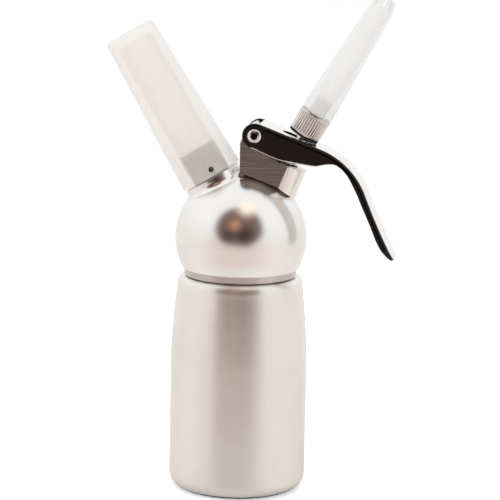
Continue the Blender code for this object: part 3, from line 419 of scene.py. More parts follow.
def piece(data):
    """An object in the scene with this mesh, camera or lamp, under the same name."""
    obj = bpy.data.objects.new(data.name, data)
    bpy.context.scene.collection.objects.link(obj)
    return obj


def baked(obj):
    """The object with its modifiers made part of its mesh."""
    bpy.context.view_layer.update()
    graph = bpy.context.evaluated_depsgraph_get()
    mesh = bpy.data.meshes.new_from_object(obj.evaluated_get(graph))
    obj.modifiers.clear()
    obj.data = mesh
    return obj


def boolean(obj, mesh, operation="DIFFERENCE"):
    """Cuts a shape out of the object, or adds it."""
    other = piece(mesh)
    modifier = obj.modifiers.new("boolean", "BOOLEAN")
    modifier.operation = operation
    modifier.solver = "EXACT"
    modifier.object = other
    baked(obj)
    bpy.data.objects.remove(other, do_unlink=True)
    return obj


def beveled(obj, width, segments=3, angle=SHARP_ANGLE):
    """Rounds the object's sharp edges."""
    modifier = obj.modifiers.new("bevel", "BEVEL")
    modifier.width = width
    modifier.segments = segments
    modifier.limit_method = "ANGLE"
    modifier.angle_limit = angle
    modifier.miter_outer = "MITER_ARC"
    return baked(obj)


def joined(name, *objects):
    """One object with the meshes of several, which keep their own surfaces and materials."""
    with bpy.context.temp_override(active_object=objects[0], selected_editable_objects=list(objects)):
        bpy.ops.object.join()
    objects[0].name = name
    return objects[0]


def smoothed(obj):
    """Smooth shading with sharp edges kept."""
    obj.data.shade_smooth()
    obj.data.set_sharp_from_angle(angle=SHARP_ANGLE)
    return obj


def dress(obj, look):
    """Gives a piece its one material and its shading."""
    obj.data.materials.clear()
    obj.data.materials.append(look)
    return smoothed(obj)


def paint(obj, look, chosen):
    """Gives a second material to the faces that are chosen."""
    obj.data.materials.append(look)
    for face in obj.data.polygons:
        if chosen(face):
            face.material_index = len(obj.data.materials) - 1


def flattened(obj):
    """Keeps the shading of large flat faces flat beside rounded edges."""
    modifier = obj.modifiers.new("normals", "WEIGHTED_NORMAL")
    modifier.keep_sharp = True
    return baked(obj)


def mount(obj, body, slot, *nodes):
    """Puts a finished piece on its body in place of CAD nodes."""
    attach(obj, body)
    if nodes:
        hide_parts(*nodes)
    return obj


def plug(radius, top, bottom, where, facets=FINE_FACETS):
    """A plain cylinder between two heights of `where`."""
    return lathe("plug", [(0, top), (radius, top), (radius, bottom), (0, bottom)], where, facets)


class Graph:
    """A node tree, with short ways to add nodes. Any input takes a plain value or another node's output."""

    def __init__(self, tree):
        self.nodes = tree.nodes
        self.links = tree.links

    def put(self, socket, value):
        if isinstance(value, bpy.types.NodeSocket):
            self.links.new(value, socket)
        else:
            socket.default_value = value

    def node(self, kind, *inputs, **values):
        """A new node with its inputs in order, or by name with an underscore for each space."""
        made = self.nodes.new(kind)
        for name, value in values.items():
            socket = name.replace("_", " ")
            if socket in made.inputs:
                self.put(made.inputs[socket], value)
            else:
                setattr(made, name, value)
        for socket, value in zip(made.inputs, inputs):
            self.put(socket, value)
        return made

    def math(self, operation, *inputs):
        return self.node("ShaderNodeMath", *inputs, operation=operation).outputs["Value"]

    def vector(self, operation, output, *inputs):
        return self.node("ShaderNodeVectorMath", *inputs, operation=operation).outputs[output]

    def ramp(self, value, low, high, start=NOISE_LOW, end=NOISE_HIGH, **settings):
        """A value from `low` to `high` as the input goes from `start` to `end`."""
        spans = {"From_Min": start, "From_Max": end, "To_Min": low, "To_Max": high}
        return self.node("ShaderNodeMapRange", Value=value, **spans, **settings).outputs["Result"]

    def smooth(self, value, start, end, low=0.0, high=1.0):
        return self.ramp(value, low, high, start, end, interpolation_type="SMOOTHSTEP")

    def mix(self, factor, low, high):
        """A colour between two colours."""
        made = self.node("ShaderNodeMix", data_type="RGBA", Factor=factor)
        for socket, value in zip([a for a in made.inputs if a.type == "RGBA"], (low, high)):
            self.put(socket, value)
        return [a for a in made.outputs if a.type == "RGBA"][0]

    def blend(self, factor, first, second):
        """A shader between two shaders."""
        return self.node("ShaderNodeMixShader", factor, first, second).outputs["Shader"]


class Look(Graph):
    """A material on one Principled shader."""

    def __init__(self, name, colour, roughness, metallic=0.0, **sockets):
        self.material = bpy.data.materials.new(name)
        self.material.use_nodes = True
        super().__init__(self.material.node_tree)
        self.shader = self.nodes["Principled BSDF"]
        self.set(Base_Color=(*colour, 1.0), Roughness=roughness, Metallic=metallic, **sockets)

    def set(self, **sockets):
        for name, value in sockets.items():
            self.put(self.shader.inputs[name.replace("_", " ")], value)

    def show(self, shader):
        """Puts another shader on the surface in place of the plain one."""
        self.put(self.nodes["Material Output"].inputs["Surface"], shader)

    def place(self, stretch=(1, 1, 1), lean=0.0):
        """Coordinates on the piece itself, leaning about Y and stretched."""
        where = self.node("ShaderNodeTexCoord").outputs["Object"]
        placed = self.node("ShaderNodeMapping", Vector=where, Scale=stretch, Rotation=(0, lean, 0))
        return placed.outputs["Vector"]

    def noise(self, vector, scale, detail=3.0, roughness=0.6):
        values = {"Scale": scale, "Detail": detail, "Roughness": roughness}
        return self.node("ShaderNodeTexNoise", Vector=vector, **values).outputs["Fac"]

    def tint(self, value, dark, light, start=NOISE_LOW, end=NOISE_HIGH):
        """Base colour between two colours, by a texture's value."""
        made = self.node("ShaderNodeValToRGB", Fac=value)
        for stop, position, colour in zip(made.color_ramp.elements, (start, end), (dark, light)):
            stop.position = position
            stop.color = (*colour, 1)
        self.set(Base_Color=made.outputs["Color"])

    def rough(self, value, low, high):
        self.set(Roughness=self.ramp(value, low, high))

    def bump(self, value, height):
        made = self.node("ShaderNodeBump", Strength=1.0, Distance=height, Height=value)
        self.set(Normal=made.outputs["Normal"])


def metal(name, dark, light, rough, stretch, fine, height=FAINT, lean=0.0, turned=0.0):
    """Metal with a fine grain. `turned` draws reflections out along Z, as fine rings from a lathe do."""
    look = Look(name, light, rough[0], 1.0)
    if turned:
        around = look.node("ShaderNodeTangent", direction_type="RADIAL", axis="Z")
        look.set(Anisotropic=turned, Anisotropic_Rotation=0.25, Tangent=around.outputs["Tangent"])
    lines = look.noise(look.place((1, 1, stretch), lean), fine, 4.0, 0.7)
    look.tint(look.noise(look.place(), 60.0, 2.0), dark, light)
    look.rough(lines, *rough)
    look.bump(lines, height)
    return look.material


def boss_look(name):
    """The boss's flat sides, brushed in lines along the lever's web, in colours kept dark as a painted
    reflection of the dark room that these sides mirror.
    """
    look = Look(name, BRUSHED_SHADED_LIGHT, BRUSHED_ROUGH[0], 1.0)
    lines = look.noise(look.place((1, 5, 60), -WEB_SLOPE), 50.0, 5.0, 0.8)
    look.tint(lines, BRUSHED_SHADED_DARK, BRUSHED_SHADED_LIGHT, 0.35, 0.65)
    look.rough(lines, *BRUSHED_ROUGH)
    look.bump(lines, 0.000003)
    return look.material


def lever_look(name):
    """Glossy black nickel with a painted sheen: its colour turns near white where it is seen edge-on."""
    look = Look(name, NICKEL_BLACK, NICKEL_ROUGH[0], 1.0)
    look.set(Coat_Weight=0.6, Coat_Roughness=0.15, Coat_IOR=1.30)
    edge_on = look.node("ShaderNodeLayerWeight", Blend=0.5).outputs["Facing"]
    # Painted sheen: the base colour goes from black to near white as the surface turns edge-on to the view.
    look.tint(edge_on, NICKEL_BLACK, NICKEL_PAINTED_SHEEN, *NICKEL_TURNS)
    look.rough(look.noise(look.place(), 90.0), *NICKEL_ROUGH)
    look.bump(look.noise(look.place(), 900.0, 2.0), 0.000003)
    return look.material


def frosted_look(name, lean, dark, light, through, ior):
    """Frosted plastic: `through` is the share of the light that it lets straight on."""
    look = Look(name, light, FROSTED_ROUGH[0], IOR=ior)
    grain = look.noise(look.place((1, 1, 0.25), lean), 700.0)
    look.tint(look.noise(look.place((1, 1, 0.4), lean), 45.0, 2.0), dark, light)
    look.rough(grain, *FROSTED_ROUGH)
    look.bump(grain, 0.000006)
    straight = look.node("ShaderNodeBsdfTransparent", Color=(*light, 1)).outputs["BSDF"]
    look.show(look.blend(through, look.shader.outputs["BSDF"], straight))
    return look.material


def rubber_look(name, dark, light):
    look = Look(name, light, RUBBER_ROUGH[0])
    clouds = look.noise(look.place(), 400.0, 4.0)
    look.tint(clouds, dark, light)
    look.rough(clouds, *RUBBER_ROUGH)
    look.bump(clouds, 0.00002)
    return look.material


def make_looks():
    """Every material, by its name."""
    looks = {name: metal(name, *values) for name, values in METALS.items()}
    looks |= {name: frosted_look(name, *values) for name, values in PLASTICS.items()}
    looks |= {name: rubber_look(name, *values) for name, values in RUBBERS.items()}
    looks["brushed_boss_painted_reflection"] = boss_look("brushed_boss_painted_reflection")
    looks["black_nickel"] = lever_look("black_nickel")
    return looks


def make_bottle(looks):
    """Drawn bottle: rounded base with a fine step, taper to the shoulder, threaded neck."""
    taper_end = BOTTLE_HEIGHT - SHOULDER_TALL
    taper_start = taper_end - TAPER_TALL
    rim = NECK_RADIUS + RIM_STEP
    shoulder = BOTTLE_RADIUS - TAPER_DROP
    run = shoulder - rim
    shoulder_arc = []
    for i in range(ARC_STEPS + 1):
        a = radians(90) * i / ARC_STEPS
        shoulder_arc.append((rim + run * sin(a), taper_end + SHOULDER_TALL * cos(a)))
    side = []
    for i in range(2 * ARC_STEPS, -1, -1):
        share = i / (2 * ARC_STEPS)
        side.append((BOTTLE_RADIUS - TAPER_DROP * share**TAPER_POWER, taper_start + TAPER_TALL * share))
    base = arc((BOTTLE_RADIUS - BASE_ROUND, BASE_ROUND), BASE_ROUND, 0, -BASE_DEGREES, 2 * ARC_STEPS)
    foot = [(base[-1][0] - BASE_STEP, 0), (BOTTLE_RADIUS - 2 * BASE_ROUND, 0)]
    foot += [(BOTTLE_RADIUS - 2 * BASE_ROUND - EDGE, EDGE), (0, EDGE)]
    outside = [*shoulder_arc[:-1], *side, *base, *foot]

    root = NECK_RADIUS - NECK_THREAD_DEPTH
    neck_bore = root - BOTTLE_WALL
    inside_round = BASE_ROUND - BOTTLE_WALL
    inner_radius = BOTTLE_RADIUS - BOTTLE_WALL
    inner_base = arc((inner_radius - inside_round, BOTTLE_WALL + inside_round), inside_round, -90, 0)
    inner_side = [(r - BOTTLE_WALL, h) for r, h in reversed(side)]
    inner_shoulder = [(neck_bore + BOTTLE_WALL, BOTTLE_HEIGHT - BOTTLE_WALL), (neck_bore, BOTTLE_HEIGHT)]
    thread_top = RIM_HEIGHT - NECK_THREAD_DEPTH
    thread_end = thread_top - NECK_THREAD_PITCH * NECK_THREADS
    thread = softened(threads(root, NECK_RADIUS, thread_top, thread_end, NECK_THREADS), EDGE / 2)
    outline = [(0, BOTTLE_WALL), *inner_base, *inner_side, *inner_shoulder]
    outline += [(neck_bore, RIM_HEIGHT - EDGE), (neck_bore + EDGE, RIM_HEIGHT), (root - EDGE, RIM_HEIGHT)]
    outline += [(root, RIM_HEIGHT - EDGE), *thread, (root, BOTTLE_HEIGHT), *outside]
    obj = dress(piece(lathe("bottle_body", outline)), looks["satin_bottle"])
    # Painted shade: the lowest strip of the base's rounding is coloured near black. It stands in for the dark
    # contact line against the floor.
    paint(obj, looks["base_painted_shade"], lambda f: f.center.z < SHADED_BASE_HEIGHT)
    mount(obj, "bottle", "satin_aluminium", "bottle")


def flared(name, outline, normals, top, fillet, where):
    """A boss standing on the ball: straight wall below `top`, then a concave fillet down into the ball."""
    centre = where.inverted() @ Vector((0, 0, BALL_HEIGHT))
    sphere = BALL_RADIUS - SUNK
    columns = []
    for (x, y), (nx, ny) in zip(outline, normals):
        side = (x - centre.x) * ny - (y - centre.y) * nx
        across = (centre.x - x) * nx + (centre.y - y) * ny
        cut = sqrt(sphere**2 - side**2)
        height = centre.z + sqrt((cut + fillet) ** 2 - (fillet - across) ** 2)
        end = atan2(centre.z - height, across - fillet) % tau
        column = [(x, y, top)]
        for i in range(ARC_STEPS + 1):
            a = pi + (end - pi) * i / ARC_STEPS
            u = fillet + fillet * cos(a)
            column.append((x + nx * u, y + ny * u, height + fillet * sin(a)))
        foot = column[-1]
        column.append((foot[0] - nx * fillet, foot[1] - ny * fillet, foot[2] - fillet))
        columns.append(column)
    return loft(name, [list(level) for level in zip(*columns)], where)


def boss_outline(left, half):
    """Plan of the valve boss: round right end about the frame's axis, rounded corners at the left."""
    points = arc((BOSS_END_SHIFT, 0), half, -90, 90, 4 * ARC_STEPS)
    normals = arc((0, 0), 1, -90, 90, 4 * ARC_STEPS)
    for side, start in ((1, 90), (-1, 180)):
        centre = (left + LUG_CORNER, side * (half - LUG_CORNER))
        points += arc(centre, LUG_CORNER, start, start + 90)
        normals += arc((0, 0), 1, start, start + 90)
    return points, normals


def lug_outline(platform_centre):
    """The lug that carries the pin, in the ball's frame: upright at its left, swept into the platform."""
    slope = Vector((cos(BOSS_LEAN), -sin(BOSS_LEAN)))
    pin = Vector((PIN_OUT, PIN_UP))
    web = Vector((cos(WEB_SLOPE), -sin(WEB_SLOPE)))
    normal = Vector((sin(WEB_SLOPE), cos(WEB_SLOPE)))
    nub_edge = pin - web * LUG_NUB / 4
    start = 90 - degrees(WEB_SLOPE)
    right = arc(pin, LUG_RIGHT, start, 0)
    nub = arc(pin, LUG_NUB, 180, start + LUG_STEP_DEGREES)
    foot_end = platform_centre - slope * SPOT_RADIUS * LUG_FOOT_SHARE
    foot_start = Vector((PIN_OUT + LUG_RIGHT, foot_end.y + LUG_FOOT_ROUND))
    corner = Vector((PIN_OUT + LUG_RIGHT, foot_end.y + LUG_FOOT_ROUND / 2))
    foot = curve(foot_start, corner, foot_end, ARC_STEPS)
    step = nub_edge + normal * LUG_RIGHT
    deep = BALL_RADIUS - LUG_SINK
    return [(0, deep), (0, PIN_UP - LUG_CORNER), *nub, tuple(step), *right, *foot, (foot_end.x, deep)]


def valve_cavity():
    """The bore along the nozzle, from above the boss down to the pocket of the valve's seal."""
    spot = PLATFORM_ALONG - SPOT_DEPTH
    nut_end = spot - NUT_BORE_DEPTH
    pocket_end = VALVE_SEAT - SEAL_POCKET_DEPTH
    outline = [(0, PLATFORM_ALONG + OVERRUN), (SPOT_RADIUS, PLATFORM_ALONG + OVERRUN), (SPOT_RADIUS, spot)]
    outline += [(NUT_BORE, spot), (NUT_BORE, nut_end), (VALVE_BORE, nut_end), (VALVE_BORE, VALVE_SEAT)]
    outline += [(SEAL_POCKET, VALVE_SEAT), (SEAL_POCKET, pocket_end), (0, pocket_end)]
    return lathe("valve_cut", outline, NOZZLE, FINE_FACETS)


def shank_hole():
    """The hole for the stud's shank, down through the charger seat."""
    return plug(STUD_SHANK_RADIUS + GAP, SEAT_TOP + OVERRUN, SEAT_TOP - 3 * OVERRUN, CHARGER)


def make_ball(looks):
    """The hollow ball with its neck ring and the thread for the bottle."""
    low = HEAD_BOTTOM - BALL_HEIGHT
    ring_top = low + NECK_RING_TALL
    edge = degrees(asin(ring_top / BALL_RADIUS) + RING_CLEAR)
    sphere = arc((0, 0), BALL_RADIUS, 90, edge, 6 * ARC_STEPS)
    sphere[0] = (0, BALL_RADIUS)
    bore = NECK_RADIUS + GAP
    neck_ring = [(sphere[-1][0] - EDGE, ring_top), (NECK_RING_RADIUS, ring_top)]
    neck_ring += [(NECK_RING_RADIUS, low), (bore, low)]
    step = GASKET_STEP - BALL_HEIGHT
    dome_centre = (DOME_HEIGHT**2 - GASKET_INNER_RADIUS**2 - step**2) / (2 * (DOME_HEIGHT - step))
    start = degrees(atan2(step - dome_centre, GASKET_INNER_RADIUS))
    dome = arc((0, dome_centre), DOME_HEIGHT - dome_centre, 90, start, 3 * ARC_STEPS)
    dome[0] = (0, DOME_HEIGHT)
    thread_top = step - NECK_THREAD_PITCH
    thread_end = low + NECK_THREAD_PITCH / 2
    thread = threads(bore, bore + NECK_THREAD_DEPTH, thread_top, thread_end, HEAD_THREAD_COUNT)
    cavity = [*dome, (bore, step), *softened(thread, EDGE / 2)]
    outline = [*sphere, *softened(neck_ring, 2 * EDGE, 6), *reversed(cavity)]
    ball = piece(lathe("ball", outline, HEAD))
    boolean(ball, valve_cavity())
    boolean(ball, shank_hole())
    dress(ball, looks["satin_ball"])
    reach = NECK_RING_RADIUS + EDGE / 2
    level = BALL_HEIGHT + ring_top + EDGE / 2
    paint(ball, looks["polished_ring"], lambda f: f.center.z < level and f.center.xy.length < reach)
    return ball


def make_boss(looks):
    """The valve boss with the lug for the lever's pin, brushed on its two flat sides, which carry a painted
    dark reflection.
    """
    half = BOSS_WIDTH / 2
    centre = Vector((PLATFORM.translation.x, PLATFORM.translation.z - BALL_HEIGHT))
    left = LUG_CORNER - centre.x / cos(BOSS_LEAN)
    boss = piece(flared("boss", *boss_outline(left, half), 0, BOSS_FILLET, BOSS))
    outline = lug_outline(centre)
    walls = [[(x, y, z) for x, z in outline] for y in (-half, half)]
    boolean(boss, loft("lug", walls, HEAD), "UNION")
    boolean(boss, valve_cavity())
    boolean(boss, plug(PIN_RADIUS + GAP, half + OVERRUN, -half - OVERRUN, PIN))
    beveled(boss, CASTING_EDGE)
    dress(boss, looks["bright_casting"])
    reach = BALL_RADIUS + BOSS_FILLET * FILLET_SHARE

    def away(face):
        return (face.center - HEAD.translation).length

    # Painted reflection: the two flat sides get real brushed lines, in colours kept dark to stand in for the
    # dark room that they mirror.
    paint(boss, looks["brushed_boss_painted_reflection"], lambda f: abs(f.normal.y) > FLAT_FACING and away(f) > reach)
    # Painted shade: the fillet's faces beside the flat sides are coloured dark. They stand in for the
    # shadowed crescent between boss and ball.
    paint(boss, looks["fillet_painted_shade"], lambda f: abs(f.normal.y) > SIDE_FACING and away(f) < reach)
    return flattened(boss)


def make_seat(looks):
    """The raised round seat of the charger's stud."""
    points = arc((0, 0), SEAT_RADIUS, 0, 360, FACETS)[:-1]
    normals = arc((0, 0), 1, 0, 360, FACETS)[:-1]
    seat = piece(flared("seat", points, normals, SEAT_TOP, SEAT_FILLET, CHARGER))
    boolean(seat, shank_hole())
    beveled(seat, CASTING_EDGE)
    return dress(seat, looks["satin_ball"])


def make_head(looks):
    """Ball, valve boss and charger seat, one casting."""
    head = joined("head_casting", make_ball(looks), make_boss(looks), make_seat(looks))
    mount(head, "head", "satin_aluminium", "head")


def make_stud(looks):
    """The threaded stud on the seat, with the socket for the charger's neck."""
    foot = SEAT_TOP + GAP
    top = foot + STUD_HEIGHT
    shank_end = SEAT_TOP - STUD_SHANK_LENGTH
    root = STUD_RADIUS - STUD_THREAD_DEPTH
    thread = threads(root, STUD_RADIUS, top - STUD_EDGE, foot + STUD_PLAIN, STUD_THREADS)
    outline = [(STUD_BORE, top - SOCKET_DEPTH), (SOCKET_RADIUS, top - SOCKET_DEPTH), (SOCKET_RADIUS, top)]
    outline += [(root, top), *thread, (root, foot + STUD_PLAIN)]
    outline += [(STUD_RADIUS, foot + STUD_PLAIN - STUD_EDGE), (STUD_RADIUS, foot)]
    outline += [(STUD_SHANK_RADIUS, foot), (STUD_SHANK_RADIUS, shank_end), (STUD_BORE, shank_end)]
    outline = softened(outline, EDGE / 3, closed=True)
    obj = piece(lathe("threaded_stud", outline, CHARGER, FINE_FACETS, closed=True))
    # Painted shade: the stud is coloured dark, standing in for the shade inside the holder.
    mount(dress(obj, looks["turned_stud_painted_shade"]), "head", "bright_steel", "charger_stud")


def make_holder(looks):
    """The plastic holder: tapered outside with flutes that deepen towards its closed top."""
    base = SEAT_TOP + HOLDER_GAP
    side = HOLDER_LENGTH - HOLDER_TOP_ROUND
    levels = [(h, r - EDGE) for r, h in arc((0, EDGE), EDGE, -90, 0, 3)]
    levels += [(EDGE + (side - EDGE) * i / HOLDER_STATIONS, 0) for i in range(1, HOLDER_STATIONS + 1)]
    top_round = arc((0, 0), HOLDER_TOP_ROUND, *HOLDER_TOP_DEGREES)
    levels += [(side + z, r - HOLDER_TOP_ROUND) for r, z in top_round]
    rings = []
    for height, inset in levels:
        share = height / HOLDER_LENGTH
        radius = HOLDER_RADIUS + (HOLDER_TOP_RADIUS - HOLDER_RADIUS) * share + inset
        fade = max(0, (share - FLUTE_START_SHARE) / (1 - FLUTE_START_SHARE))
        rings.append(ribbed(radius, base + height, FLUTE_DEPTH * fade, HOLDER_FLUTES, FLUTE_FACETS))
    holder = piece(loft("frosted_holder", rings, CHARGER))

    grip = STUD_RADIUS + GAP
    stud_top = SEAT_TOP + GAP + STUD_HEIGHT
    ceiling = base + HOLDER_LENGTH - HOLDER_TOP_WALL
    round_centre = (HOLDER_BORE - HOLDER_TOP_ROUND, ceiling - HOLDER_TOP_ROUND)
    inside = [(0, ceiling), *arc(round_centre, HOLDER_TOP_ROUND, 90, 0)]
    inside += [(HOLDER_BORE, stud_top + 2 * STUD_EDGE), (grip, stud_top + 2 * STUD_EDGE)]
    inside += threads(grip, grip + STUD_THREAD_DEPTH, stud_top, SEAT_TOP + GAP + STUD_PLAIN, STUD_THREADS)
    inside += [(grip, base - OVERRUN), (0, base - OVERRUN)]
    boolean(holder, lathe("holder_cut", inside, CHARGER, FACETS))
    boolean(holder, plug(VENT_RADIUS, HOLDER_RADIUS + OVERRUN, HOLDER_BORE / 2, VENT, HOLE_FACETS))
    mount(dress(holder, looks["frosted_holder"]), "charger_holder", "frosted_plastic", "charger_holder")


def lever_run(run):
    """Place and slope of the lever's top at a distance along it, in the ball's XZ plane."""
    def facing(slope):
        return Vector((sin(slope), cos(slope)))

    along = Vector((cos(WEB_SLOPE), -sin(WEB_SLOPE)))
    place = Vector((PIN_OUT, PIN_UP)) + facing(WEB_SLOPE) * EAR_RADIUS
    place += along * min(run, WEB_LENGTH)
    knee = ARM_SLOPE - WEB_SLOPE
    turned_by = min(max(run - WEB_LENGTH, 0) / KNEE_RADIUS, knee)
    slope = WEB_SLOPE + turned_by
    place += KNEE_RADIUS * (facing(slope) - facing(WEB_SLOPE))
    on_arm = max(run - WEB_LENGTH - KNEE_RADIUS * knee, 0)
    if on_arm:
        flare_radius = ARM_LENGTH / TIP_FLARE
        slope = ARM_SLOPE - on_arm / flare_radius
        place += flare_radius * (facing(ARM_SLOPE) - facing(slope))
    return place, slope


def share_at(table, share):
    """Value at a share of the length on a smooth curve through the rows of a table of shares."""
    rows = [table[0], *table, table[-1]]
    for before, low, high, after in zip(rows, rows[1:], rows[2:], rows[3:]):
        if share <= high[0]:
            t = (share - low[0]) / (high[0] - low[0])
            width = high[0] - low[0]
            rise_low = (high[1] - before[1]) / max(high[0] - before[0], width) * width
            rise_high = (after[1] - low[1]) / max(after[0] - low[0], width) * width
            step = high[1] - low[1]
            bend = 3 * step - 2 * rise_low - rise_high
            return low[1] + rise_low * t + bend * t**2 + (rise_low + rise_high - 2 * step) * t**3
    return table[-1][1]


def channel_section(half, depth):
    """Points (across, below the top) of the channel's section, with rounded free edges and bends."""
    bend = min(LEVER_BEND, depth * BEND_DEPTH_SHARE)
    inner_bend = max(bend - LEVER_SHEET, LEVER_SHEET / 4)
    lip = LEVER_SHEET / 2
    corner = (half - lip, depth - lip)
    right = [*arc(corner, lip, 90, 0, 5), *arc((half - bend, bend), bend, 0, -90, 6)]
    inner_centre = (half - LEVER_SHEET - inner_bend, LEVER_SHEET + inner_bend)
    back = [*arc(inner_centre, inner_bend, -90, 0, 6), *arc(corner, lip, 180, 90, 5)[:-1]]
    left, left_back = ([(-y, w) for y, w in reversed(points)] for points in (right, back))
    return right + left + left_back + back


def lever_rings():
    """Sections of the channel along web, knee and arm, and how far along the lever each of them lies."""
    total = WEB_LENGTH + KNEE_RADIUS * (ARM_SLOPE - WEB_SLOPE) + ARM_LENGTH
    tip_start = total - LEVER_TIP_LENGTH
    runs = [tip_start * i / LEVER_STATIONS for i in range(LEVER_STATIONS + 1)]
    for i in range(1, 2 * ARC_STEPS + 1):
        runs.append(tip_start + LEVER_TIP_LENGTH * sin(radians(90) * i / (2 * ARC_STEPS)))
    rings = []
    for run in runs:
        place, slope = lever_run(run)
        inward = Vector((-sin(slope), -cos(slope)))
        depth = WALL_DEEPEST * share_at(WALL_DEPTH_SHARES, run / total)
        past = max(run - tip_start, 0) / LEVER_TIP_LENGTH
        narrow = 1 - (1 - LEVER_TIP_WIDTH_SHARE) * (1 - sqrt(max(1 - past**2, 0)))
        section = channel_section(LEVER_WIDTH / 2 * narrow, depth)
        rings.append([(place.x + inward.x * w, y, place.y + inward.y * w) for y, w in section])
    return runs, rings


def paint_inside(lever, looks, runs, count):
    """Bare steel inside the channel, and the same steel painted as a highlight along the web's free edges. A
    ring has `count` points.
    """
    outer = count // 2

    def bare_or_edge_highlight(face):
        along, around = divmod(face.index, count)
        free_edge = around < LEVER_EDGE_FACES or outer - LEVER_EDGE_FACES <= around
        return around >= outer or free_edge and runs[along] < WEB_LENGTH

    lever.data.materials.append(looks["black_nickel"])
    # Painted highlight: the web's free edges take the bright steel as a line of light. Inside the channel it
    # is the bare steel.
    paint(lever, looks["bare_steel_and_edge_highlight"], bare_or_edge_highlight)


def stem_slot():
    """The long hole in the web for the valve's stem."""
    outline = []
    for x, y in arc((0, 0), SLOT_HALF_WIDTH, 0, 360, FINE_FACETS)[:-1]:
        shift = SLOT_FRONT - SLOT_HALF_WIDTH if x > 0 else SLOT_HALF_WIDTH - SLOT_BACK
        outline.append((x + shift, y))
    return loft("slot", [[(x, y, z) for x, y in outline] for z in (-OVERRUN, OVERRUN)], WEB)


def make_ears(look):
    """The round ears about the pin, which stand proud of the channel's walls by a hair."""
    ears = []
    lip = LEVER_SHEET / 2 + EAR_PROUD
    middle = (LEVER_WIDTH - LEVER_SHEET) / 2
    for side in (middle, -middle):
        rim = arc((EAR_RADIUS - lip, side), lip, 90, -90, 8)
        ring = [(PIN_RADIUS + GAP, side + lip), *rim, (PIN_RADIUS + GAP, side - lip)]
        ear = piece(lathe("ear", ring, PIN, FACETS, closed=True))
        ears.append(flattened(dress(ear, look)))
    return ears


def make_lever(looks):
    """The stamped channel with its round ears and the stem's slot."""
    runs, rings = lever_rings()
    lever = piece(loft("channel_lever", rings, HEAD))
    paint_inside(lever, looks, runs, len(rings[0]))
    boolean(lever, stem_slot())
    reach = LEVER_WIDTH / 2 + OVERRUN
    boolean(lever, plug(PIN_RADIUS + GAP, reach, -reach, PIN))
    flattened(smoothed(lever))
    lever = joined("channel_lever", lever, *make_ears(looks["black_nickel"]))
    mount(lever, "lever", "black_lever_finish", "lever")


def make_pin(looks):
    """The pin with its recessed head towards the viewer and a groove for the retaining ring."""
    seat = LEVER_WIDTH / 2 + GAP
    top = seat + PIN_HEAD_THICK
    groove = PIN_RADIUS - CLIP_GROOVE
    groove_end = -seat - CLIP_THICK - 2 * GAP
    floor = top - PIN_RECESS_DEPTH
    dome = []
    inner, outer = (cos(radians(angle)) for angle in PIN_DOME_DEGREES)
    for x, y in arc((0, 0), 1, *PIN_DOME_DEGREES):
        out = PIN_RECESS_RADIUS + (PIN_HEAD_RADIUS - PIN_RECESS_RADIUS) * (x - inner) / (outer - inner)
        dome.append((out, seat + PIN_HEAD_THICK * y))
    outline = [(0, floor), (PIN_RECESS_RADIUS - EDGE, floor), *dome]
    outline += [(PIN_HEAD_RADIUS, seat), (PIN_RADIUS, seat), (PIN_RADIUS, -seat), (groove, -seat)]
    outline += [(groove, groove_end), (PIN_RADIUS, groove_end), (PIN_RADIUS, groove_end - PIN_TAIL)]
    outline += [(0, groove_end - PIN_TAIL)]
    obj = dress(piece(lathe("turned_pin", outline, PIN, FINE_FACETS)), looks["bright_steel"])
    to_axis = PIN.inverted()

    def in_recess(face):
        p = to_axis @ face.center
        return p.z > seat and p.xy.length < PIN_RECESS_RADIUS

    # Painted shade: the recess in the pin's head is coloured near black, where shade falls in the hole.
    paint(obj, looks["pin_recess_painted_shade"], in_recess)
    mount(obj, "head", "bright_steel", "lever_pin")


def make_spring(looks):
    """The return spring between guide nut and press washer."""
    low = SPRING_BOTTOM + SPRING_WIRE / 2
    run = SPRING_TOP - SPRING_WIRE / 2 - low
    count = round(SPRING_CURLS * SPRING_CURL_POINTS)
    rings = []
    for i in range(count + 1):
        share = i / count
        closed = share**2 * (3 - 2 * share)
        height = low + run * (share + (closed - share) * SPRING_END_CLOSE)
        turn = tau * i / SPRING_CURL_POINTS
        ring = []
        for out, up in arc((SPRING_RADIUS, height), SPRING_WIRE / 2, 0, 360, SPRING_WIRE_POINTS)[:-1]:
            ring.append((out * cos(turn), out * sin(turn), up))
        rings.append(ring)
    obj = dress(piece(loft("return_spring", rings, NOZZLE)), looks["spring_wire"])
    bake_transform(obj)
    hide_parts("valve_spring")


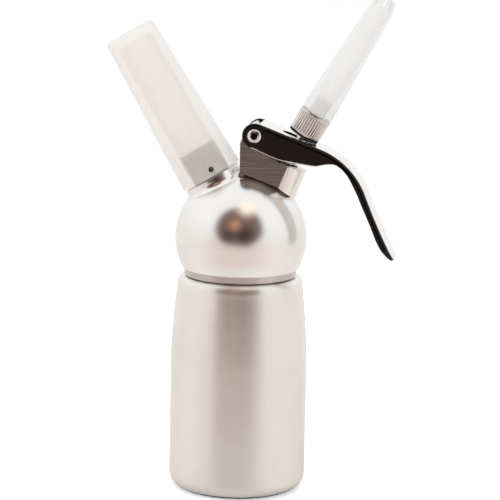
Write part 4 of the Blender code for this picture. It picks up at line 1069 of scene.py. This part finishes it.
def make_collar(looks):
    """The knurled collar with its threaded stub."""
    top = COLLAR_BOTTOM + COLLAR_LENGTH
    rims = ((1, 0, 0), (1 / 4, 1 / 4, 0), (0, 1, 0), (0, 2, KNURL_DEPTH))
    levels = []
    for inset, rise, depth in rims:
        levels.append((COLLAR_RADIUS - COLLAR_EDGE * inset, COLLAR_BOTTOM + COLLAR_EDGE * rise, depth))
    for inset, drop, depth in reversed(rims):
        levels.append((COLLAR_TOP_RADIUS - COLLAR_EDGE * inset, top - COLLAR_EDGE * drop, depth))
    rings = [ribbed(*level, KNURL_RIBS, KNURL_POINTS, KNURL_POWER) for level in levels]
    collar = piece(loft("knurled_collar", rings, NOZZLE))
    hole = plug(STEM_HOLE, top - 2 * COLLAR_EDGE, COLLAR_BOTTOM - OVERRUN, NOZZLE, HOLE_FACETS)
    boolean(collar, hole)
    root = STUB_RADIUS - STUB_THREAD_DEPTH
    stub_top = top + STUB_LENGTH
    thread = threads(root, STUB_RADIUS, stub_top - COLLAR_EDGE, top + COLLAR_EDGE, STUB_THREADS)
    outline = [(STEM_BORE, stub_top), (root, stub_top), *thread]
    outline += [(root, top - COLLAR_EDGE), (STEM_BORE, top - COLLAR_EDGE)]
    outline = softened(outline, EDGE / 3, closed=True)
    stub = piece(lathe("stub", outline, NOZZLE, FINE_FACETS, closed=True))
    for obj in (collar, stub):
        dress(obj, looks["nickel_collar"])
    to_axis = NOZZLE.inverted()

    def in_groove(face):
        p = to_axis @ face.center
        share = (p.z - COLLAR_BOTTOM) / COLLAR_LENGTH
        crest = COLLAR_RADIUS + (COLLAR_TOP_RADIUS - COLLAR_RADIUS) * share
        reach = hypot(p.x, p.y)
        sunk = TIP_NECK_RADIUS < reach < crest - KNURL_DEPTH * KNURL_DARK_SHARE
        return sunk and KNURL_END_SHARE < share < 1 - KNURL_END_SHARE

    # Painted shade: the faces deep in the grooves are coloured dark, where shade falls between the ribs.
    paint(collar, looks["knurl_groove_painted_shade"], in_groove)
    mount(joined("knurled_collar", collar, stub), "valve", "satin_collar", "nozzle_adaptor")


def make_tip(looks):
    """The decorating tip: a tapered tube that closes to a star-slotted end."""
    base = COLLAR_BOTTOM + COLLAR_LENGTH + GAP
    top = base + TIP_LENGTH
    neck = top - TIP_CLOSING
    shoulder = base + STUB_LENGTH + COLLAR_EDGE
    socket = STUB_RADIUS + GAP
    outside = [(0, top), (TIP_END_RADIUS, top), (TIP_NECK_RADIUS - TIP_WALL / 3, neck + TIP_CLOSING / 3)]
    outside += [(TIP_NECK_RADIUS, neck), (TIP_RADIUS, base + COLLAR_EDGE), (TIP_RADIUS - COLLAR_EDGE, base)]
    outside = softened(outside, 2 * EDGE, 6)
    inside = [(socket, base), (socket, shoulder), (TIP_RADIUS - 2 * TIP_WALL, shoulder + 2 * TIP_WALL)]
    inside += [(TIP_NECK_RADIUS - TIP_WALL, neck), (TIP_END_RADIUS - TIP_WALL, top - TIP_END_WALL)]
    inside.append((0, top - TIP_END_WALL))
    tip = piece(lathe("star_tip", [*outside, *inside], NOZZLE, FACETS))
    reach = TIP_NECK_RADIUS
    spread = asin(STAR_SLOT / 2 / reach)
    centre = STAR_SLOT / 2 / sin(pi / STAR_POINTS)
    star = []
    for i in range(STAR_POINTS):
        a = tau * i / STAR_POINTS
        for r, turn in ((reach, a - spread), (reach, a + spread), (centre, a + pi / STAR_POINTS)):
            star.append((r * cos(turn), r * sin(turn)))
    levels = [[(x, y, z) for x, y in star] for z in (top - TIP_CLOSING * STAR_DEPTH_SHARE, top + OVERRUN)]
    boolean(tip, loft("star_cut", levels, NOZZLE))
    mount(dress(tip, looks["frosted_tip"]), "tip", "frosted_plastic", "decorating_tip")


def dress_frame(looks):
    """Materials of the CAD nodes that stay."""
    for name, nodes in FINISHES.items():
        for node in nodes:
            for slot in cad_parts[node].material_slots:
                slot.material = looks[name]


# Camera, fitted to the photograph
EYE = Vector((0.1600, -1.1388, 0.3351))
AIM = Vector((0, 0, 0.1295))
AIM_PIXEL = (240.94, 239.87)
PICTURE = 500
ROLL = radians(-1.1)
VIEW_ANGLE = radians(12.575)


def make_camera():
    """The camera that took the photograph, rolled a little."""
    data = bpy.data.cameras.new("camera")
    data.angle = VIEW_ANGLE
    data.shift_x = (PICTURE / 2 - AIM_PIXEL[0]) / PICTURE
    data.shift_y = (AIM_PIXEL[1] - PICTURE / 2) / PICTURE
    obj = piece(data)
    forward = (AIM - EYE).normalized()
    right = forward.cross(Vector((0, 0, 1))).normalized()
    up = right.cross(forward)
    rolled_right = right * cos(ROLL) - up * sin(ROLL)
    rolled_up = right * sin(ROLL) + up * cos(ROLL)
    turn = Matrix((rolled_right, rolled_up, -forward)).transposed().to_4x4()
    obj.matrix_world = Matrix.Translation(EYE) @ turn
    bpy.context.scene.camera = obj


# Surroundings: a white tent above a pale table, with the dark room seen through the tent's front opening
DIFFUSE_LEVEL = 0.68
WHITE = (1, 1, 1, 1)
TABLE_COLOUR = (0.88, 0.845, 0.81, 1)
TABLE_FRONT_COLOUR = (0.77, 0.635, 0.59, 1)
FRONT_TURN = radians(-3)
FRONT_REACH = (radians(22), radians(72))
OPENING_POWER = 2.4
TABLE_EDGE = (radians(-16), radians(30))
ROOM_COLOUR = (0.185, 0.108, 0.096, 1)
OPENING = (radians(4), radians(29))
OPENING_HALF = (radians(48), radians(35))
OPENING_SOFT = (0.80, 1.12)
ROOM_SPOTS = (
    ((0.26, -0.96, 0.20), 0.50, (0.012, 0.008, 0.007, 1)),
    ((-0.26, -0.95, 0.18), 0.40, (0.045, 0.030, 0.022, 1)),
    ((-0.07, -0.86, 0.50), 0.26, (0.70, 0.34, 0.17, 1)),
    ((0.20, -0.47, 0.86), 0.36, (1.35, 1.15, 0.92, 1)),
)


def mirrored_room(world):
    """What the metal mirrors, by direction: tent over table, the front opening and the room beyond it."""
    where = world.node("ShaderNodeTexCoord").outputs["Generated"]
    x, y, z = world.node("ShaderNodeSeparateXYZ", where).outputs
    turn = world.math("ARCTAN2", x, world.math("MULTIPLY", y, -1.0))
    rise = world.math("ARCSINE", z)
    sideways = world.math("ABSOLUTE", world.math("SUBTRACT", turn, FRONT_TURN))
    table = world.mix(world.smooth(sideways, *FRONT_REACH, 1.0, 0.0), TABLE_COLOUR, TABLE_FRONT_COLOUR)
    seen = world.mix(world.smooth(rise, *TABLE_EDGE), table, WHITE)
    sides = []
    for angle, middle, half in zip((turn, rise), OPENING, OPENING_HALF):
        side = world.math("DIVIDE", world.math("SUBTRACT", angle, middle), half)
        sides.append(world.math("POWER", world.math("ABSOLUTE", side), OPENING_POWER))
    reach = world.math("POWER", world.math("ADD", *sides), 1 / OPENING_POWER)
    seen = world.mix(world.smooth(reach, *OPENING_SOFT, 1.0, 0.0), seen, ROOM_COLOUR)
    for direction, size, colour in ROOM_SPOTS:
        away = world.vector("DISTANCE", "Value", where, Vector(direction).normalized())
        seen = world.mix(world.smooth(away, 0.0, size, 1.0, 0.0), seen, colour)
    return seen


def make_world():
    """Plain white light, white behind the object, and the room for what the metal mirrors."""
    tent = bpy.data.worlds.new("tent")
    bpy.context.scene.world = tent
    tent.use_nodes = True
    world = Graph(tent.node_tree)
    world.nodes.clear()

    def background(colour, strength=1.0):
        return world.node("ShaderNodeBackground", colour, strength).outputs["Background"]

    path = world.node("ShaderNodeLightPath")
    mirrored = background(mirrored_room(world))
    lit = world.blend(path.outputs["Is Glossy Ray"], background(WHITE, DIFFUSE_LEVEL), mirrored)
    clear = world.math("MAXIMUM", path.outputs["Is Camera Ray"], path.outputs["Is Transmission Ray"])
    world.node("ShaderNodeOutputWorld", world.blend(clear, lit, background(WHITE)))


# Lights: place, size and power
LIGHTS = (
    ("key", (-0.55, -0.60, 0.75), 0.50, 3.4),
    ("fill", (0.75, -0.45, 0.45), 0.60, 2.0),
    ("back", (0.10, 0.70, 0.60), 0.60, 1.8),
)


def make_lights():
    """Soft area lights round the object, aimed at the ball."""
    for name, place, size, power in LIGHTS:
        data = bpy.data.lights.new(name, "AREA")
        data.size = size
        data.energy = power
        obj = piece(data)
        obj.visible_glossy = False
        obj.location = place
        obj.rotation_mode = "QUATERNION"
        obj.rotation_quaternion = (AIM - Vector(place)).to_track_quat("-Z", "Y")


# Floor, with painted shade that darkens it towards the front, and its lift to white for the camera
FLOOR_RADIUS = 0.55
FLOOR_DROP = 0.0002
FLOOR_COLOUR = (0.84, 0.80, 0.76)
FLOOR_FRONT_SHADE = (0.725, 0.61, 0.565)
FRONT_FADE = (0.06, 0.20)
FLOOR_LIFT = (0.95, 0.97, 1.00, 1)
FLOOR_LIFT_LEVEL = 0.50
FLOOR_MIRRORED_LEVEL = 0.02


def floor_look():
    look = Look("pale_floor", FLOOR_COLOUR, 0.9, Specular_IOR_Level=0.0)
    where = look.node("ShaderNodeTexCoord").outputs["Object"]
    outwards = look.vector("NORMALIZE", "Vector", where)
    front = (sin(FRONT_TURN), -cos(FRONT_TURN), 0)
    facing = look.vector("DOT_PRODUCT", "Value", outwards, front)
    grown = look.smooth(look.vector("LENGTH", "Value", where), *FRONT_FADE)
    start, end = (cos(angle) for angle in reversed(FRONT_REACH))
    # Painted shade: the floor's colour darkens towards the front, where the tent's open side lets in less
    # light.
    look.tint(look.math("MULTIPLY", facing, grown), FLOOR_COLOUR, FLOOR_FRONT_SHADE, start, end)
    path = look.node("ShaderNodeLightPath").outputs
    clear = look.math("MAXIMUM", path["Is Camera Ray"], path["Is Transmission Ray"])
    level = look.math("MULTIPLY", clear, FLOOR_LIFT_LEVEL)
    level = look.math("MULTIPLY_ADD", path["Is Glossy Ray"], FLOOR_MIRRORED_LEVEL, level)
    glow = look.node("ShaderNodeEmission", FLOOR_LIFT, level).outputs["Emission"]
    look.show(look.node("ShaderNodeAddShader", look.shader.outputs["BSDF"], glow).outputs["Shader"])
    return look.material


def make_floor():
    """A pale floor that keeps the object's soft shadow."""
    shape = bmesh.new()
    bmesh.ops.create_circle(shape, cap_ends=True, segments=FACETS, radius=FLOOR_RADIUS)
    floor = piece(to_mesh("floor", shape))
    floor.location.z = -FLOOR_DROP
    floor.data.materials.append(floor_look())


bpy.context.scene.view_settings.view_transform = "Standard"
make_camera()
looks = make_looks()
make_bottle(looks)
make_head(looks)
make_stud(looks)
make_holder(looks)
make_lever(looks)
make_pin(looks)
make_spring(looks)
make_collar(looks)
make_tip(looks)
dress_frame(looks)
make_world()
make_lights()
make_floor()
